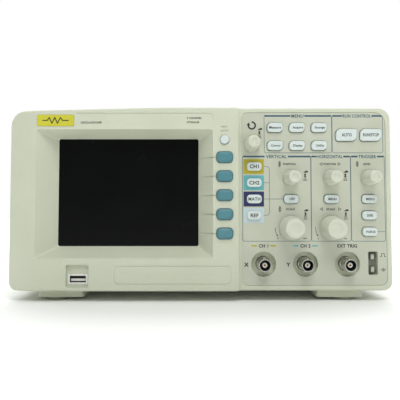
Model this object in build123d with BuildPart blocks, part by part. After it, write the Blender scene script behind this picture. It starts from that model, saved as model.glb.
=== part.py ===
from build123d import *
import math
import os

# Two-channel bench digital oscilloscope, in millimetres.
# +X is to the right as the user sees it, -Y is the front and +Z is up. The origin is on the desk,
# under the middle of the housing. A moulded bezel and a rear cover close round a sheet-metal
# chassis, and every key, knob, leg and handle is a piece of its own.

# ---------------------------------------------------------------- overall sizes
WIDTH = 303.0  # over the sides of the housing
HEIGHT = 154.0  # desk to the top of the folded handle
DEPTH = 133.0  # knob tips to the rear bumpers

RIGHT = WIDTH / 2
LEFT = -RIGHT
KNOB_TIP_Y = -DEPTH / 2
REAR_Y = DEPTH / 2

# ---------------------------------------------------------------- clearances
KEY_GAP = 0.4  # round a key, in the wall it slides through
SHAFT_GAP = 0.05  # round a turning shaft or a hinge pin
LOOSE_GAP = 0.3  # between pieces that only pass each other
SEAM_GAP = 0.4  # the groove between bezel and rear cover
SEAT_GAP = 0.15  # round a plate or a pad in its pocket

# ---------------------------------------------------------------- housing
FOOT_HEIGHT = 8.3  # desk to the underside of the housing
HANDLE_PROUD = 1.0  # the folded handle above the housing
WALL = 2.5
CORNER_TOP_LEFT = 12.0
CORNER_TOP_RIGHT = 9.5
CORNER_BOTTOM = 7.0
CROWN_DROP = 3.0  # the top is this much lower at its left end
CROWN_RUN = 121.5  # from the left side to where the top runs level
CROWN_BLEND = 1400.0  # radius where the slope meets the level
FRONT_ROUND = 1.8  # along the front edges of the housing
REAR_ROUND = 7.0  # along the rear edges of the housing
REAR_BUMPER = 3.0  # bumpers behind the rear wall

BODY_BOTTOM = FOOT_HEIGHT
BODY_TOP = HEIGHT - HANDLE_PROUD
INNER_BOTTOM = BODY_BOTTOM + WALL
INNER_RIGHT = RIGHT - WALL

# ---------------------------------------------------------------- depths of the front
KNOB_REACH = 17.0  # knob tips in front of the printed overlay
OVERLAY_THICK = 0.5
RIM_PROUD = 0.4  # the rim round the overlay stands in front of it
DISPLAY_STEP = 3.6  # the display part stands in front of the rim
FUNNEL_DEPTH = 15.0
BEZEL_LENGTH = 31.0  # overlay pocket to the seam

OVERLAY_Y = KNOB_TIP_Y + KNOB_REACH
POCKET_Y = OVERLAY_Y + OVERLAY_THICK
RIM_Y = OVERLAY_Y - RIM_PROUD
DISPLAY_Y = RIM_Y - DISPLAY_STEP
SEAM_Y = POCKET_Y + BEZEL_LENGTH
CONTROL_INNER_Y = POCKET_Y + WALL
DISPLAY_INNER_Y = DISPLAY_Y + WALL
WINDOW_Y = DISPLAY_Y + FUNNEL_DEPTH
REAR_WALL_Y = REAR_Y - REAR_BUMPER
REAR_INNER_Y = REAR_WALL_Y - WALL

# ---------------------------------------------------------------- display part
CONTROL_WIDTH = 120.5  # the control part, from the step to the right side
STEP_X = RIGHT - CONTROL_WIDTH
CHEEK_WIDTH = 21.5  # the sloping cheek at the far left
CHEEK_DROP = 6.0
CHEEK_BOW = 0.7  # how far the cheek bulges from its chord
STEP_ROUND = 2.2

SCREEN_WIDTH = 114.0
SCREEN_HEIGHT = 87.2
SCREEN_RIGHT_GAP = 32.3  # screen opening to the step
SCREEN_TOP_GAP = 23.6  # screen opening to the top of the housing
SCREEN_CORNER = 1.5
SCREEN_X = STEP_X - SCREEN_RIGHT_GAP - SCREEN_WIDTH / 2
SCREEN_Z = BODY_TOP - SCREEN_TOP_GAP - SCREEN_HEIGHT / 2

FUNNEL_LEFT = 14.1  # how far the funnel's mouth reaches past the opening
FUNNEL_RIGHT = 11.5
FUNNEL_TOP = 5.9
FUNNEL_BOTTOM = 8.3
FUNNEL_CORNER = 2.0
FUNNEL_WALL = 2.0
MOUTH_WIDTH = SCREEN_WIDTH + FUNNEL_LEFT + FUNNEL_RIGHT
MOUTH_HEIGHT = SCREEN_HEIGHT + FUNNEL_TOP + FUNNEL_BOTTOM
MOUTH_X = SCREEN_X + (FUNNEL_RIGHT - FUNNEL_LEFT) / 2
MOUTH_Z = SCREEN_Z + (FUNNEL_TOP - FUNNEL_BOTTOM) / 2

WINDOW_THICK = 1.5
WINDOW_LAP = 3.0  # the window laps the funnel's end by this much
LCD_GAP = 0.2  # window to display module
LCD_THICK = 11.0
LCD_WIDTH = 138.0
LCD_HEIGHT = 104.8
LCD_GLASS_THICK = 1.1
LCD_SIDE_SHIFT = -1.0  # the module sits a little left of the opening
LCD_X = SCREEN_X + LCD_SIDE_SHIFT
LCD_FRONT_Y = WINDOW_Y + WINDOW_THICK + LCD_GAP
LCD_EAR = 8.0
LCD_BOSS_SHARE = 0.36  # of the width, from the middle to each pair of screws
LCD_PILOT_DEPTH = 8.0

SOFT_KEY_X = STEP_X - 11.7
SOFT_KEY_PITCH = 14.95
SOFT_KEY_TOP_Z = SCREEN_Z + 27.3
SOFT_KEY_COUNT = 5
MENU_TOGGLE_Z = SCREEN_Z + 41.2
KEY_LINE_WIDTH = 0.9  # the engraved line from the screen to each soft key
KEY_LINE_DEPTH = 0.6
KEY_LINE_RUN = 3.0  # how far it goes on past the funnel's edge

GROOVE_WIDTH = 0.7
GROOVE_DEPTH = 0.4
TITLE_TOP_GAP = 5.0  # the title groove below the top of the housing
TITLE_DROP = 6.9
TITLE_ROUND = 3.2
TITLE_RIGHT_GAP = 21.1  # its right end to the step
TITLE_LENGTH = 107.7
BADGE_WIDTH = 29.2
BADGE_HEIGHT = 9.0
BADGE_THICK = 0.8
BADGE_SINK = 0.5
BADGE_CORNER = 0.8
BADGE_X = LEFT + 37.4
BADGE_Z = BODY_TOP - 10.8
PANEL_GROOVE_WIDTH = 91.7
PANEL_GROOVE_HEIGHT = 14.5
PANEL_GROOVE_CORNER = 4.0
PANEL_GROOVE_X = STEP_X - 52.5
PANEL_GROOVE_Z = BODY_BOTTOM + 12.8

USB_RECESS_WIDTH = 17.8
USB_RECESS_HEIGHT = 17.9
USB_RECESS_DEPTH = 3.0
USB_RECESS_CORNER = 1.5
USB_X = LEFT + 55.7
USB_RECESS_Z = BODY_BOTTOM + 11.8
USB_Z = BODY_BOTTOM + 9.3
USB_INNER_WIDTH = 12.5
USB_INNER_HEIGHT = 5.1
USB_METAL = 0.35
USB_FLARE = 1.2
USB_LENGTH = 12.5
USB_TONGUE_THICK = 1.84
USB_TONGUE_WIDTH = 11.1
USB_FLOOR_Y = DISPLAY_Y + USB_RECESS_DEPTH

# ---------------------------------------------------------------- control part
OVERLAY_LEFT_RIM = 1.9
OVERLAY_RIGHT_RIM = 4.2
OVERLAY_TOP_RIM = 3.7
OVERLAY_BOTTOM_RIM = 4.2
OVERLAY_CORNER_TIGHT = 5.0
OVERLAY_CORNER_WIDE = 9.0
OVERLAY_WIDTH = CONTROL_WIDTH - OVERLAY_LEFT_RIM - OVERLAY_RIGHT_RIM
OVERLAY_HEIGHT = BODY_TOP - BODY_BOTTOM - OVERLAY_TOP_RIM - OVERLAY_BOTTOM_RIM
OVERLAY_X = STEP_X + OVERLAY_LEFT_RIM + OVERLAY_WIDTH / 2
OVERLAY_Z = BODY_BOTTOM + OVERLAY_BOTTOM_RIM + OVERLAY_HEIGHT / 2

ROW_PITCH = 12.9  # one pitch for every row of small keys
ROW_TOP_Z = BODY_TOP - 46.9
ROW = [ROW_TOP_Z - ROW_PITCH * step for step in range(5)]
CHANNEL_X = STEP_X + 11.8
VERTICAL_X = STEP_X + 41.0
HORIZONTAL_X = STEP_X + 72.9
TRIGGER_X = STEP_X + 102.7
MENU_X = STEP_X + 28.5
MENU_PITCH_X = 17.5
MENU_PITCH_Z = 14.4
MENU_Z = BODY_TOP - 15.9
RUN_X = STEP_X + 85.2
RUN_PITCH_X = 19.3
RUN_Z = BODY_TOP - 21.8
POSITION_Z = BODY_TOP - 55.9
SCALE_Z = BODY_TOP - 95.5
MULTI_X = STEP_X + 10.2
MULTI_Z = BODY_TOP - 29.0

KEY_TRAVEL = 1.0
KEY_FLANGE_LAP = 0.9
KEY_FLANGE_THICK = 1.0
KEY_FLANGE_GAP = 0.2
KEY_EDGE = 0.25  # rounding of a key's top edge
# A key's style: outline, size over its sides, corner radius, how far it stands out, and the width
# and height of the bevel round its top.
KEY_STYLES = {
    "soft": {"outline": "rounded", "size": (12.7, 8.6), "corner": 3.2, "proud": 2.4, "bevel": (1.7, 1.4)},
    "round": {"outline": "round", "size": (7.0, 7.0), "corner": 3.5, "proud": 2.0, "bevel": (0.6, 0.6)},
    "leaf": {"outline": "leaf", "size": (12.2, 7.4), "corner": 3.2, "proud": 1.9, "bevel": (0.6, 0.6)},
    "wide": {"outline": "leaf", "size": (16.8, 9.6), "corner": 4.4, "proud": 1.9, "bevel": (0.7, 0.6)},
    "small": {"outline": "rounded", "size": (11.6, 6.8), "corner": 2.6, "proud": 1.9, "bevel": (0.6, 0.6)},
}
LEAF_SHARP = 2.2  # the two tight corners of a leaf-shaped key

KNOB_GAP = 1.0  # knob to overlay, which leaves room for the push
KNOB_TRAVEL = 0.5
KNOB_SKIRT = 1.2
KNOB_TIP_ROUND = 1.1
KNOB_DIMPLE_DEPTH = 1.2
# A knob's size: base diameter, tip diameter and the dished dimple's diameter.
KNOB_SIZES = {"small": (12.5, 9.3, 6.4), "large": (19.3, 14.8, 9.4)}
SHAFT_D = 6.0
SHAFT_FLAT = 1.5  # the flat of the D, from the axis
SHAFT_IN_KNOB = 11.0

BNC_PITCH = 33.0
BNC_X = STEP_X + 19.0
BNC_Z = BODY_BOTTOM + 20.7
BNC_RECESS_D = 19.7
BNC_RECESS_DEPTH = 5.5  # from the overlay to the recess floor
BNC_REACH = 14.5  # jack in front of its recess floor
BNC_BARREL_D = 9.6
BNC_SHOULDER_D = 11.0
BNC_SHOULDER_PROUD = 2.0
BNC_BORE_D = 8.2
BNC_BORE_DEPTH = 8.0
BNC_INSULATOR_D = 5.0
BNC_INSULATOR_SINK = 1.4
BNC_CONTACT_D = 2.4
BNC_PIN_HOLE_D = 1.2
BNC_LUG_D = 1.9
BNC_LUG_PROUD = 0.7
BNC_LUG_SETBACK = 5.0  # lug's axis behind the jack's rim
BNC_BLOCK = 14.5
BNC_FLOOR_Y = OVERLAY_Y + BNC_RECESS_DEPTH

PROBE_X = RIGHT - 15.4
PROBE_Z = BODY_BOTTOM + 21.4
PROBE_WIDTH = 7.5
PROBE_HEIGHT = 18.5
PROBE_DEPTH = 5.0
PROBE_CORNER = 1.2
PROBE_LOOP_PITCH = 10.0
PROBE_LOOP_SPAN = 5.2
PROBE_LOOP_THICK = 0.7
PROBE_LOOP_WIDTH = 2.6
PROBE_LOOP_REACH = 3.6
PROBE_FLOOR_Y = OVERLAY_Y + PROBE_DEPTH

# ---------------------------------------------------------------- keypad and encoders
KEYPAD_BOARD_Y = OVERLAY_Y + 11.5
KEYPAD_BOARD_THICK = 1.6
KEYPAD_LEFT = STEP_X - 20.5
KEYPAD_RIGHT = INNER_RIGHT - 10.5
KEYPAD_TOP = BODY_TOP - 7.0
KEYPAD_BOTTOM = SCALE_Z - 11.5
MAT_THICK = 0.8
DOME_D = 5.4
DOME_HEIGHT = 1.5
DOME_CLEAR = 0.3  # left between a pressed key and its dome
ENCODER_SIDE = 12.4
ENCODER_DEPTH = 7.2
ENCODER_BACK_WALL = 1.0
ENCODER_FRONT_WALL = 1.6
ENCODER_BUSH_D = 8.0
ENCODER_BUSH_SINK = 0.6  # the bush ends this far behind the overlay's face
ROTOR_D = 10.0
ROTOR_GAP = 0.4
BOSS_D = 6.6
PILOT_D = 3.0
SCREW_D = 2.9
SCREW_HOLE_D = 3.4
SCREW_HEAD_D = 5.6
SCREW_HEAD_THICK = 2.0
KEYPAD_PILOT_DEPTH = 7.0
ENCODER_FRONT_Y = KEYPAD_BOARD_Y - ENCODER_DEPTH
CAVITY_BACK_Y = KEYPAD_BOARD_Y - ENCODER_BACK_WALL
CAVITY_FRONT_Y = ENCODER_FRONT_Y + ENCODER_FRONT_WALL
ROTOR_BACK_Y = CAVITY_BACK_Y - ROTOR_GAP
ROTOR_FRONT_Y = CAVITY_FRONT_Y + ROTOR_GAP
SHAFT_BACK_Y = CAVITY_BACK_Y - KNOB_TRAVEL - LOOSE_GAP
BUSH_FRONT_Y = OVERLAY_Y + ENCODER_BUSH_SINK
KNOB_BASE_Y = OVERLAY_Y - KNOB_GAP

# ---------------------------------------------------------------- inside
MAIN_BOARD_Y = SEAM_Y - 5.5
BOARD_THICK = 1.6
BOARD_INSET = 1.5  # board edge to the inner wall
CHASSIS_THICK = 1.0
CHASSIS_Y = SEAM_Y + 0.5
CHASSIS_FLANGE_INSET = 6.0  # side flange to the inner wall
CHASSIS_TAB = 12.0
POST_LENGTH = 3.0
FRAME_SCREW_X = INNER_RIGHT - 6.5
FRAME_SCREW_LOW = INNER_BOTTOM + 5.0
FRAME_SCREW_HIGH = BODY_TOP - CROWN_DROP - WALL - 6.5
COVER_SCREW_X = INNER_RIGHT - CHASSIS_FLANGE_INSET - CHASSIS_TAB / 2 - CHASSIS_THICK
COVER_SCREW_LOW = BODY_BOTTOM + 42.0
COVER_SCREW_HIGH = BODY_TOP - 44.0
FRAME_PILOT_DEPTH = 10.0
COVER_SCREW_SINK = 3.0
FRAME_SCREW_GRIP = 6.0  # how far a frame screw enters its boss
SHORT_SCREW_LENGTH = 6.5
SUPPLY_SCREW_LENGTH = 7.0
SUPPLY_SCREW_INSET = 6.0
SUPPLY_PILOT_DEPTH = 8.0
CHASSIS_WINDOW = (50.0, 60.0)
CHASSIS_WINDOW_PITCH = 70.0
CHASSIS_CORNER = 4.0
CHIPS = [  # across, above the floor of the housing, and side
    (-60.0, 96.0, 24.0),
    (-20.0, 90.0, 18.0),
    (20.0, 70.0, 20.0),
]
SHIELD_CAN = (26.0, 22.0, 6.0)
SHIELD_CAN_RISE = 20.0  # above the jacks
SUPPLY_Z = INNER_BOTTOM + 11.0
SUPPLY_LEFT = -20.0
SUPPLY_RIGHT = INNER_RIGHT - 12.0
SUPPLY_FRONT = CHASSIS_Y + 8.0
SUPPLY_BACK = SUPPLY_FRONT + 52.0

# ---------------------------------------------------------------- rear
FAN_SIDE = 60.0
FAN_THICK = 15.0
FAN_X = 22.0
FAN_Z = BODY_BOTTOM + 66.0
FAN_BORE = 56.0
FAN_HUB_D = 26.0
FAN_HUB_GAP = 0.5
FAN_SPINDLE_D = 3.0
FAN_BLADES = 7
FAN_CORNER = 4.0
FAN_HOLE_PITCH = 50.0
GRILLE_SLOT = 2.8
GRILLE_PITCH = 5.6
FAN_BACK_GAP = 0.2
FAN_SPIDER_THICK = 1.6
FAN_SPINDLE_SHORT = 4.6  # the spindle is this much shorter than the frame
FAN_BACK_Y = REAR_INNER_Y - FAN_BACK_GAP
FAN_FRONT_Y = FAN_BACK_Y - FAN_THICK
ROTOR_LENGTH = FAN_THICK - FAN_SPIDER_THICK - 2 * FAN_HUB_GAP
BLADE_THICK = 1.3
BLADE_PITCH_ANGLE = 38.0
BLADE_TIP_GAP = 1.2

BAY_WIDTH = 96.0
BAY_HEIGHT = 30.0
BAY_X = LEFT + 72.0
BAY_Z = BODY_BOTTOM + 27.0
BAY_DEPTH = BNC_REACH - REAR_BUMPER + 0.5
BAY_CORNER = 3.0
BAY_FLOOR_Y = REAR_WALL_Y - BAY_DEPTH
REAR_BNC_X = BAY_X - 33.0
SERIAL_X = BAY_X + 2.0
REAR_USB_X = BAY_X + 34.0
IO_BOARD_SETBACK = 9.0
IO_BOARD_Y = BAY_FLOOR_Y - WALL - LOOSE_GAP - IO_BOARD_SETBACK
DEVICE_OUTER = (12.0, 11.0)
DEVICE_INNER = (8.45, 7.8)
DEVICE_TONGUE = (5.6, 3.2)
DEVICE_PROUD = 1.0
DEVICE_LENGTH = BAY_FLOOR_Y + DEVICE_PROUD - IO_BOARD_Y - BOARD_THICK
SERIAL_CUT = (17.6, 9.6)
SERIAL_SCREW_PITCH = 25.0
SERIAL_FLANGE = (30.8, 12.5)
SERIAL_SHELL = (16.9, 8.3)
SERIAL_REACH = 5.8
SERIAL_BACK = 8.0

LIP_LENGTH = 3.0
LIP_THICK = 1.2
LIP_GAP = 0.2
VENT_SLOT = 2.8
VENT_PITCH = 5.6
VENT_COUNT = 9
VENT_HEIGHT = 46.0
VENT_Z = BODY_BOTTOM + 70.0
VENT_MID_Y = (SEAM_Y + REAR_WALL_Y) / 2 + 2.0
LOW_VENT_LENGTH = 40.0
LOW_VENT_X = 60.0
BUMPER = (9.0, 22.0)
BUMPER_CORNER = 4.0
BUMPER_INSET = 16.0  # from the side of the housing to its middle
BUMPER_LOW = 20.0  # above the underside
BUMPER_HIGH = 22.0  # below the top
BUMPER_ROUND = 1.2

INLET_X = RIGHT - 46.0
INLET_Z = BODY_BOTTOM + 30.0
INLET_WIDTH = 27.0
INLET_HEIGHT = 19.4
INLET_DEPTH = 19.0
INLET_FLANGE = 2.2  # past the cut-out all round
INLET_FLANGE_THICK = 2.4
INLET_CAVITY_WIDTH = 24.4
INLET_CAVITY_HEIGHT = 16.4
INLET_CAVITY_DEPTH = 16.0
INLET_CHAMFER = 4.0
INLET_PIN_X = 7.0
INLET_PIN_Z = -1.5
INLET_EARTH_Z = 3.0
INLET_PIN = (2.0, 4.0)
INLET_PIN_LENGTH = 13.0

# ---------------------------------------------------------------- handle, button, feet
HANDLE_WIDTH = 184.0
HANDLE_ARM = 8.0
HANDLE_GRIP = 16.0
HANDLE_THICK = 11.0
HANDLE_REACH = 44.0  # pivot to the middle of the grip
HANDLE_BEND = 14.0
HANDLE_PIN_D = 6.0
HANDLE_PIVOT_Y = SEAM_Y + 64.0
HANDLE_Z = HEIGHT - HANDLE_THICK / 2
TUB_GAP = 2.0
TUB_DEPTH = 22.0
TUB_FRONT_GAP = 4.0
TUB_REAR_GAP = 8.0
TUB_CORNER = 3.0
TUB_WIDTH = HANDLE_WIDTH + 2 * TUB_GAP
TUB_FRONT_Y = HANDLE_PIVOT_Y - HANDLE_REACH - HANDLE_GRIP / 2 - TUB_FRONT_GAP
TUB_REAR_Y = HANDLE_PIVOT_Y + TUB_REAR_GAP
TUB_FLOOR_Z = BODY_TOP - TUB_DEPTH

POWER_X = LEFT + 33.5
POWER_Y = SEAM_Y + 22.0
POWER_WIDTH = 16.0
POWER_HEIGHT = 9.0
POWER_PROUD = 3.0
POWER_TRAVEL = 2.5
POWER_STEM_D = 5.0
POWER_STEM_LENGTH = 9.0
SWITCH_SIDE = 9.0
SWITCH_HEIGHT = 8.0

FOOT_X = RIGHT - 40.0
PLINTH_WIDTH = 37.0
PLINTH_DEPTH = 22.5
PLINTH_HEIGHT = 6.0
PLINTH_CORNER = 3.0
PLINTH_SETBACK = 10.0  # behind the display face
PLINTH_Y = DISPLAY_Y + PLINTH_SETBACK + PLINTH_DEPTH / 2
PAD_D = 21.0
PAD_OUTBOARD = 4.8
PAD_SEAT = 1.0
REAR_PAD_D = 15.0
REAR_FOOT_D = 19.0
REAR_FOOT_Y = REAR_WALL_Y - 16.0
PAD_X = FOOT_X + PAD_OUTBOARD
PAD_ROUND = 1.2
LEG_WIDTH = 34.0
LEG_LENGTH = 30.0
LEG_THICK = 3.6
LEG_PIN_D = 3.0
LEG_PIVOT_Y = SEAM_Y + 9.0
LEG_PIVOT_Z = BODY_BOTTOM - 3.4
LUG_THICK = 3.0
LUG_RADIUS = 3.2


# ---------------------------------------------------------------- helpers
def facing(y, x=0.0, z=0.0):
    """A plane that faces the user at depth y: local x is +X and local y is +Z."""
    return Plane(origin=(x, y, z), x_dir=(1, 0, 0), z_dir=(0, -1, 0))


def rearward(y, x=0.0, z=0.0):
    """A plane that faces away from the user at depth y: local y is +Z."""
    return Plane(origin=(x, y, z), x_dir=(-1, 0, 0), z_dir=(0, 1, 0))


def level(z, x=0.0, y=0.0):
    """A level plane at height z."""
    return Plane(origin=(x, y, z), x_dir=(1, 0, 0), z_dir=(0, 0, 1))


def axial(x, y, z):
    """A plane through a front-to-back axis, for turned profiles: local x is the radius."""
    return Plane(origin=(x, y, z), x_dir=(1, 0, 0), z_dir=(0, 0, 1))


def save(label, *pieces):
    """Writes one piece, or a group of separate solids, as one node."""
    if len(pieces) == 1:
        shape = pieces[0]
    else:
        shape = Compound(children=list(pieces))
    shape.label = label
    export_step(shape, "parts/" + label + ".step")
    print(label, len(shape.solids()), "solids")


def top_at(x):
    """Height of the housing's top above x."""
    run = min(max((x - LEFT) / CROWN_RUN, 0.0), 1.0)
    return BODY_TOP - CROWN_DROP * (1.0 - run)


def housing_outline(y, inset=0.0):
    """The housing seen from the front, on a plane at depth y."""
    with BuildSketch(facing(y)) as outline:
        with BuildLine():
            Polyline(
                (LEFT, BODY_BOTTOM),
                (RIGHT, BODY_BOTTOM),
                (RIGHT, BODY_TOP),
                (LEFT + CROWN_RUN, BODY_TOP),
                (LEFT, BODY_TOP - CROWN_DROP),
                close=True,
            )
        make_face()
        low = outline.vertices().group_by(Axis.Y)[0]
        fillet(low, CORNER_BOTTOM)
        fillet(outline.vertices().sort_by_distance((RIGHT, BODY_TOP, 0))[0], CORNER_TOP_RIGHT)
        fillet(outline.vertices().sort_by_distance((LEFT, BODY_TOP, 0))[0], CORNER_TOP_LEFT)
        fillet(outline.vertices().sort_by_distance((LEFT + CROWN_RUN, BODY_TOP, 0))[0], CROWN_BLEND)
        if inset > 0:
            offset(amount=-inset)
    return outline.sketch


def overlay_outline(y, grow=0.0):
    """The printed overlay's outline, on a plane at depth y."""
    with BuildSketch(facing(y)) as outline:
        with Locations((OVERLAY_X, OVERLAY_Z)):
            Rectangle(OVERLAY_WIDTH, OVERLAY_HEIGHT)
        wide = outline.vertices().sort_by(lambda corner: corner.X + corner.Y)[-1]
        fillet(wide, OVERLAY_CORNER_WIDE)
        tight = [corner for corner in outline.vertices() if near_corner(corner)]
        fillet(tight, OVERLAY_CORNER_TIGHT)
        if grow > 0:
            offset(amount=grow)
    return outline.sketch


def near_corner(corner):
    """True at the overlay's three tight corners, once the wide one is rounded."""
    at_side = abs(abs(corner.X - OVERLAY_X) - OVERLAY_WIDTH / 2) < 0.01
    at_end = abs(abs(corner.Y - OVERLAY_Z) - OVERLAY_HEIGHT / 2) < 0.01
    return at_side and at_end


def key_outline(plane, style, grow=0.0):
    """A key's outline on a plane, grown by a clearance or a lap."""
    width, height = style["size"]
    with BuildSketch(plane) as outline:
        if style["outline"] == "round":
            Circle(width / 2)
        elif style["outline"] == "rounded":
            RectangleRounded(width, height, style["corner"])
        else:
            Rectangle(width, height)
            diagonal = outline.vertices().sort_by(lambda corner: corner.Y - corner.X)
            fillet([diagonal[0], diagonal[-1]], style["corner"])
            sharp = outline.vertices().sort_by(lambda corner: corner.Y + corner.X)
            fillet([sharp[0], sharp[-1]], LEAF_SHARP)
        if grow > 0:
            offset(amount=grow)
    return outline.sketch


def d_profile(plane, gap=0.0):
    """The D-section of an encoder shaft, or of the hole it slides in."""
    radius = SHAFT_D / 2 + gap
    with BuildSketch(plane) as profile:
        Circle(radius)
        with Locations((SHAFT_FLAT + gap + radius, 0)):
            Rectangle(2 * radius, 3 * radius, mode=Mode.SUBTRACT)
    return profile.sketch


# ---------------------------------------------------------------- where the controls are
SOFT_KEYS = [
    ("key_f" + str(count + 1), SOFT_KEY_X, SOFT_KEY_TOP_Z - SOFT_KEY_PITCH * count, "soft")
    for count in range(SOFT_KEY_COUNT)
]
DISPLAY_KEYS = SOFT_KEYS + [("key_menu_toggle", SOFT_KEY_X, MENU_TOGGLE_Z, "round")]
MENU_NAMES = [["key_measure", "key_acquire", "key_storage"], ["key_cursor", "key_display", "key_utility"]]
MENU_KEYS = [
    (name, MENU_X + MENU_PITCH_X * column, MENU_Z - MENU_PITCH_Z * row, "leaf")
    for row, names in enumerate(MENU_NAMES)
    for column, name in enumerate(names)
]
CONTROL_KEYS = MENU_KEYS + [
    ("key_auto", RUN_X, RUN_Z, "wide"),
    ("key_run_stop", RUN_X + RUN_PITCH_X, RUN_Z, "wide"),
    ("key_ch1", CHANNEL_X, ROW[0], "small"),
    ("key_ch2", CHANNEL_X, ROW[1], "small"),
    ("key_math", CHANNEL_X, ROW[2], "small"),
    ("key_ref", CHANNEL_X, ROW[3], "small"),
    ("key_off", VERTICAL_X, ROW[2], "small"),
    ("key_horizontal_menu", HORIZONTAL_X, ROW[2], "small"),
    ("key_trigger_menu", TRIGGER_X, ROW[2], "small"),
    ("key_half_level", TRIGGER_X, ROW[3], "small"),
    ("key_force", TRIGGER_X, ROW[4], "small"),
]
KNOBS = [
    ("multifunction", MULTI_X, MULTI_Z, "small"),
    ("vertical_position", VERTICAL_X, POSITION_Z, "small"),
    ("vertical_scale", VERTICAL_X, SCALE_Z, "large"),
    ("horizontal_position", HORIZONTAL_X, POSITION_Z, "small"),
    ("horizontal_scale", HORIZONTAL_X, SCALE_Z, "large"),
    ("trigger_level", TRIGGER_X, POSITION_Z, "small"),
]
BNC_PLACES = [BNC_X + BNC_PITCH * count for count in range(3)]

KEYPAD_BOSSES = [
    (STEP_X + 25.5, ROW_TOP_Z + 6.5),
    (STEP_X + 25.5, ROW_TOP_Z - 33.0),
    (STEP_X + 87.5, ROW_TOP_Z + 6.5),
    (STEP_X + 87.5, ROW_TOP_Z - 33.0),
]
LCD_BOSSES = [
    (LCD_X + side * LCD_WIDTH * LCD_BOSS_SHARE, SCREEN_Z + end * (LCD_HEIGHT / 2 + LCD_EAR / 2))
    for side in (-1, 1)
    for end in (-1, 1)
]
FRAME_SCREWS = [
    (side * FRAME_SCREW_X, height) for side in (-1, 1) for height in (FRAME_SCREW_LOW, FRAME_SCREW_HIGH)
]
COVER_SCREWS = [
    (side * COVER_SCREW_X, height) for side in (-1, 1) for height in (COVER_SCREW_LOW, COVER_SCREW_HIGH)
]

os.makedirs("parts", exist_ok=True)

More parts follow.
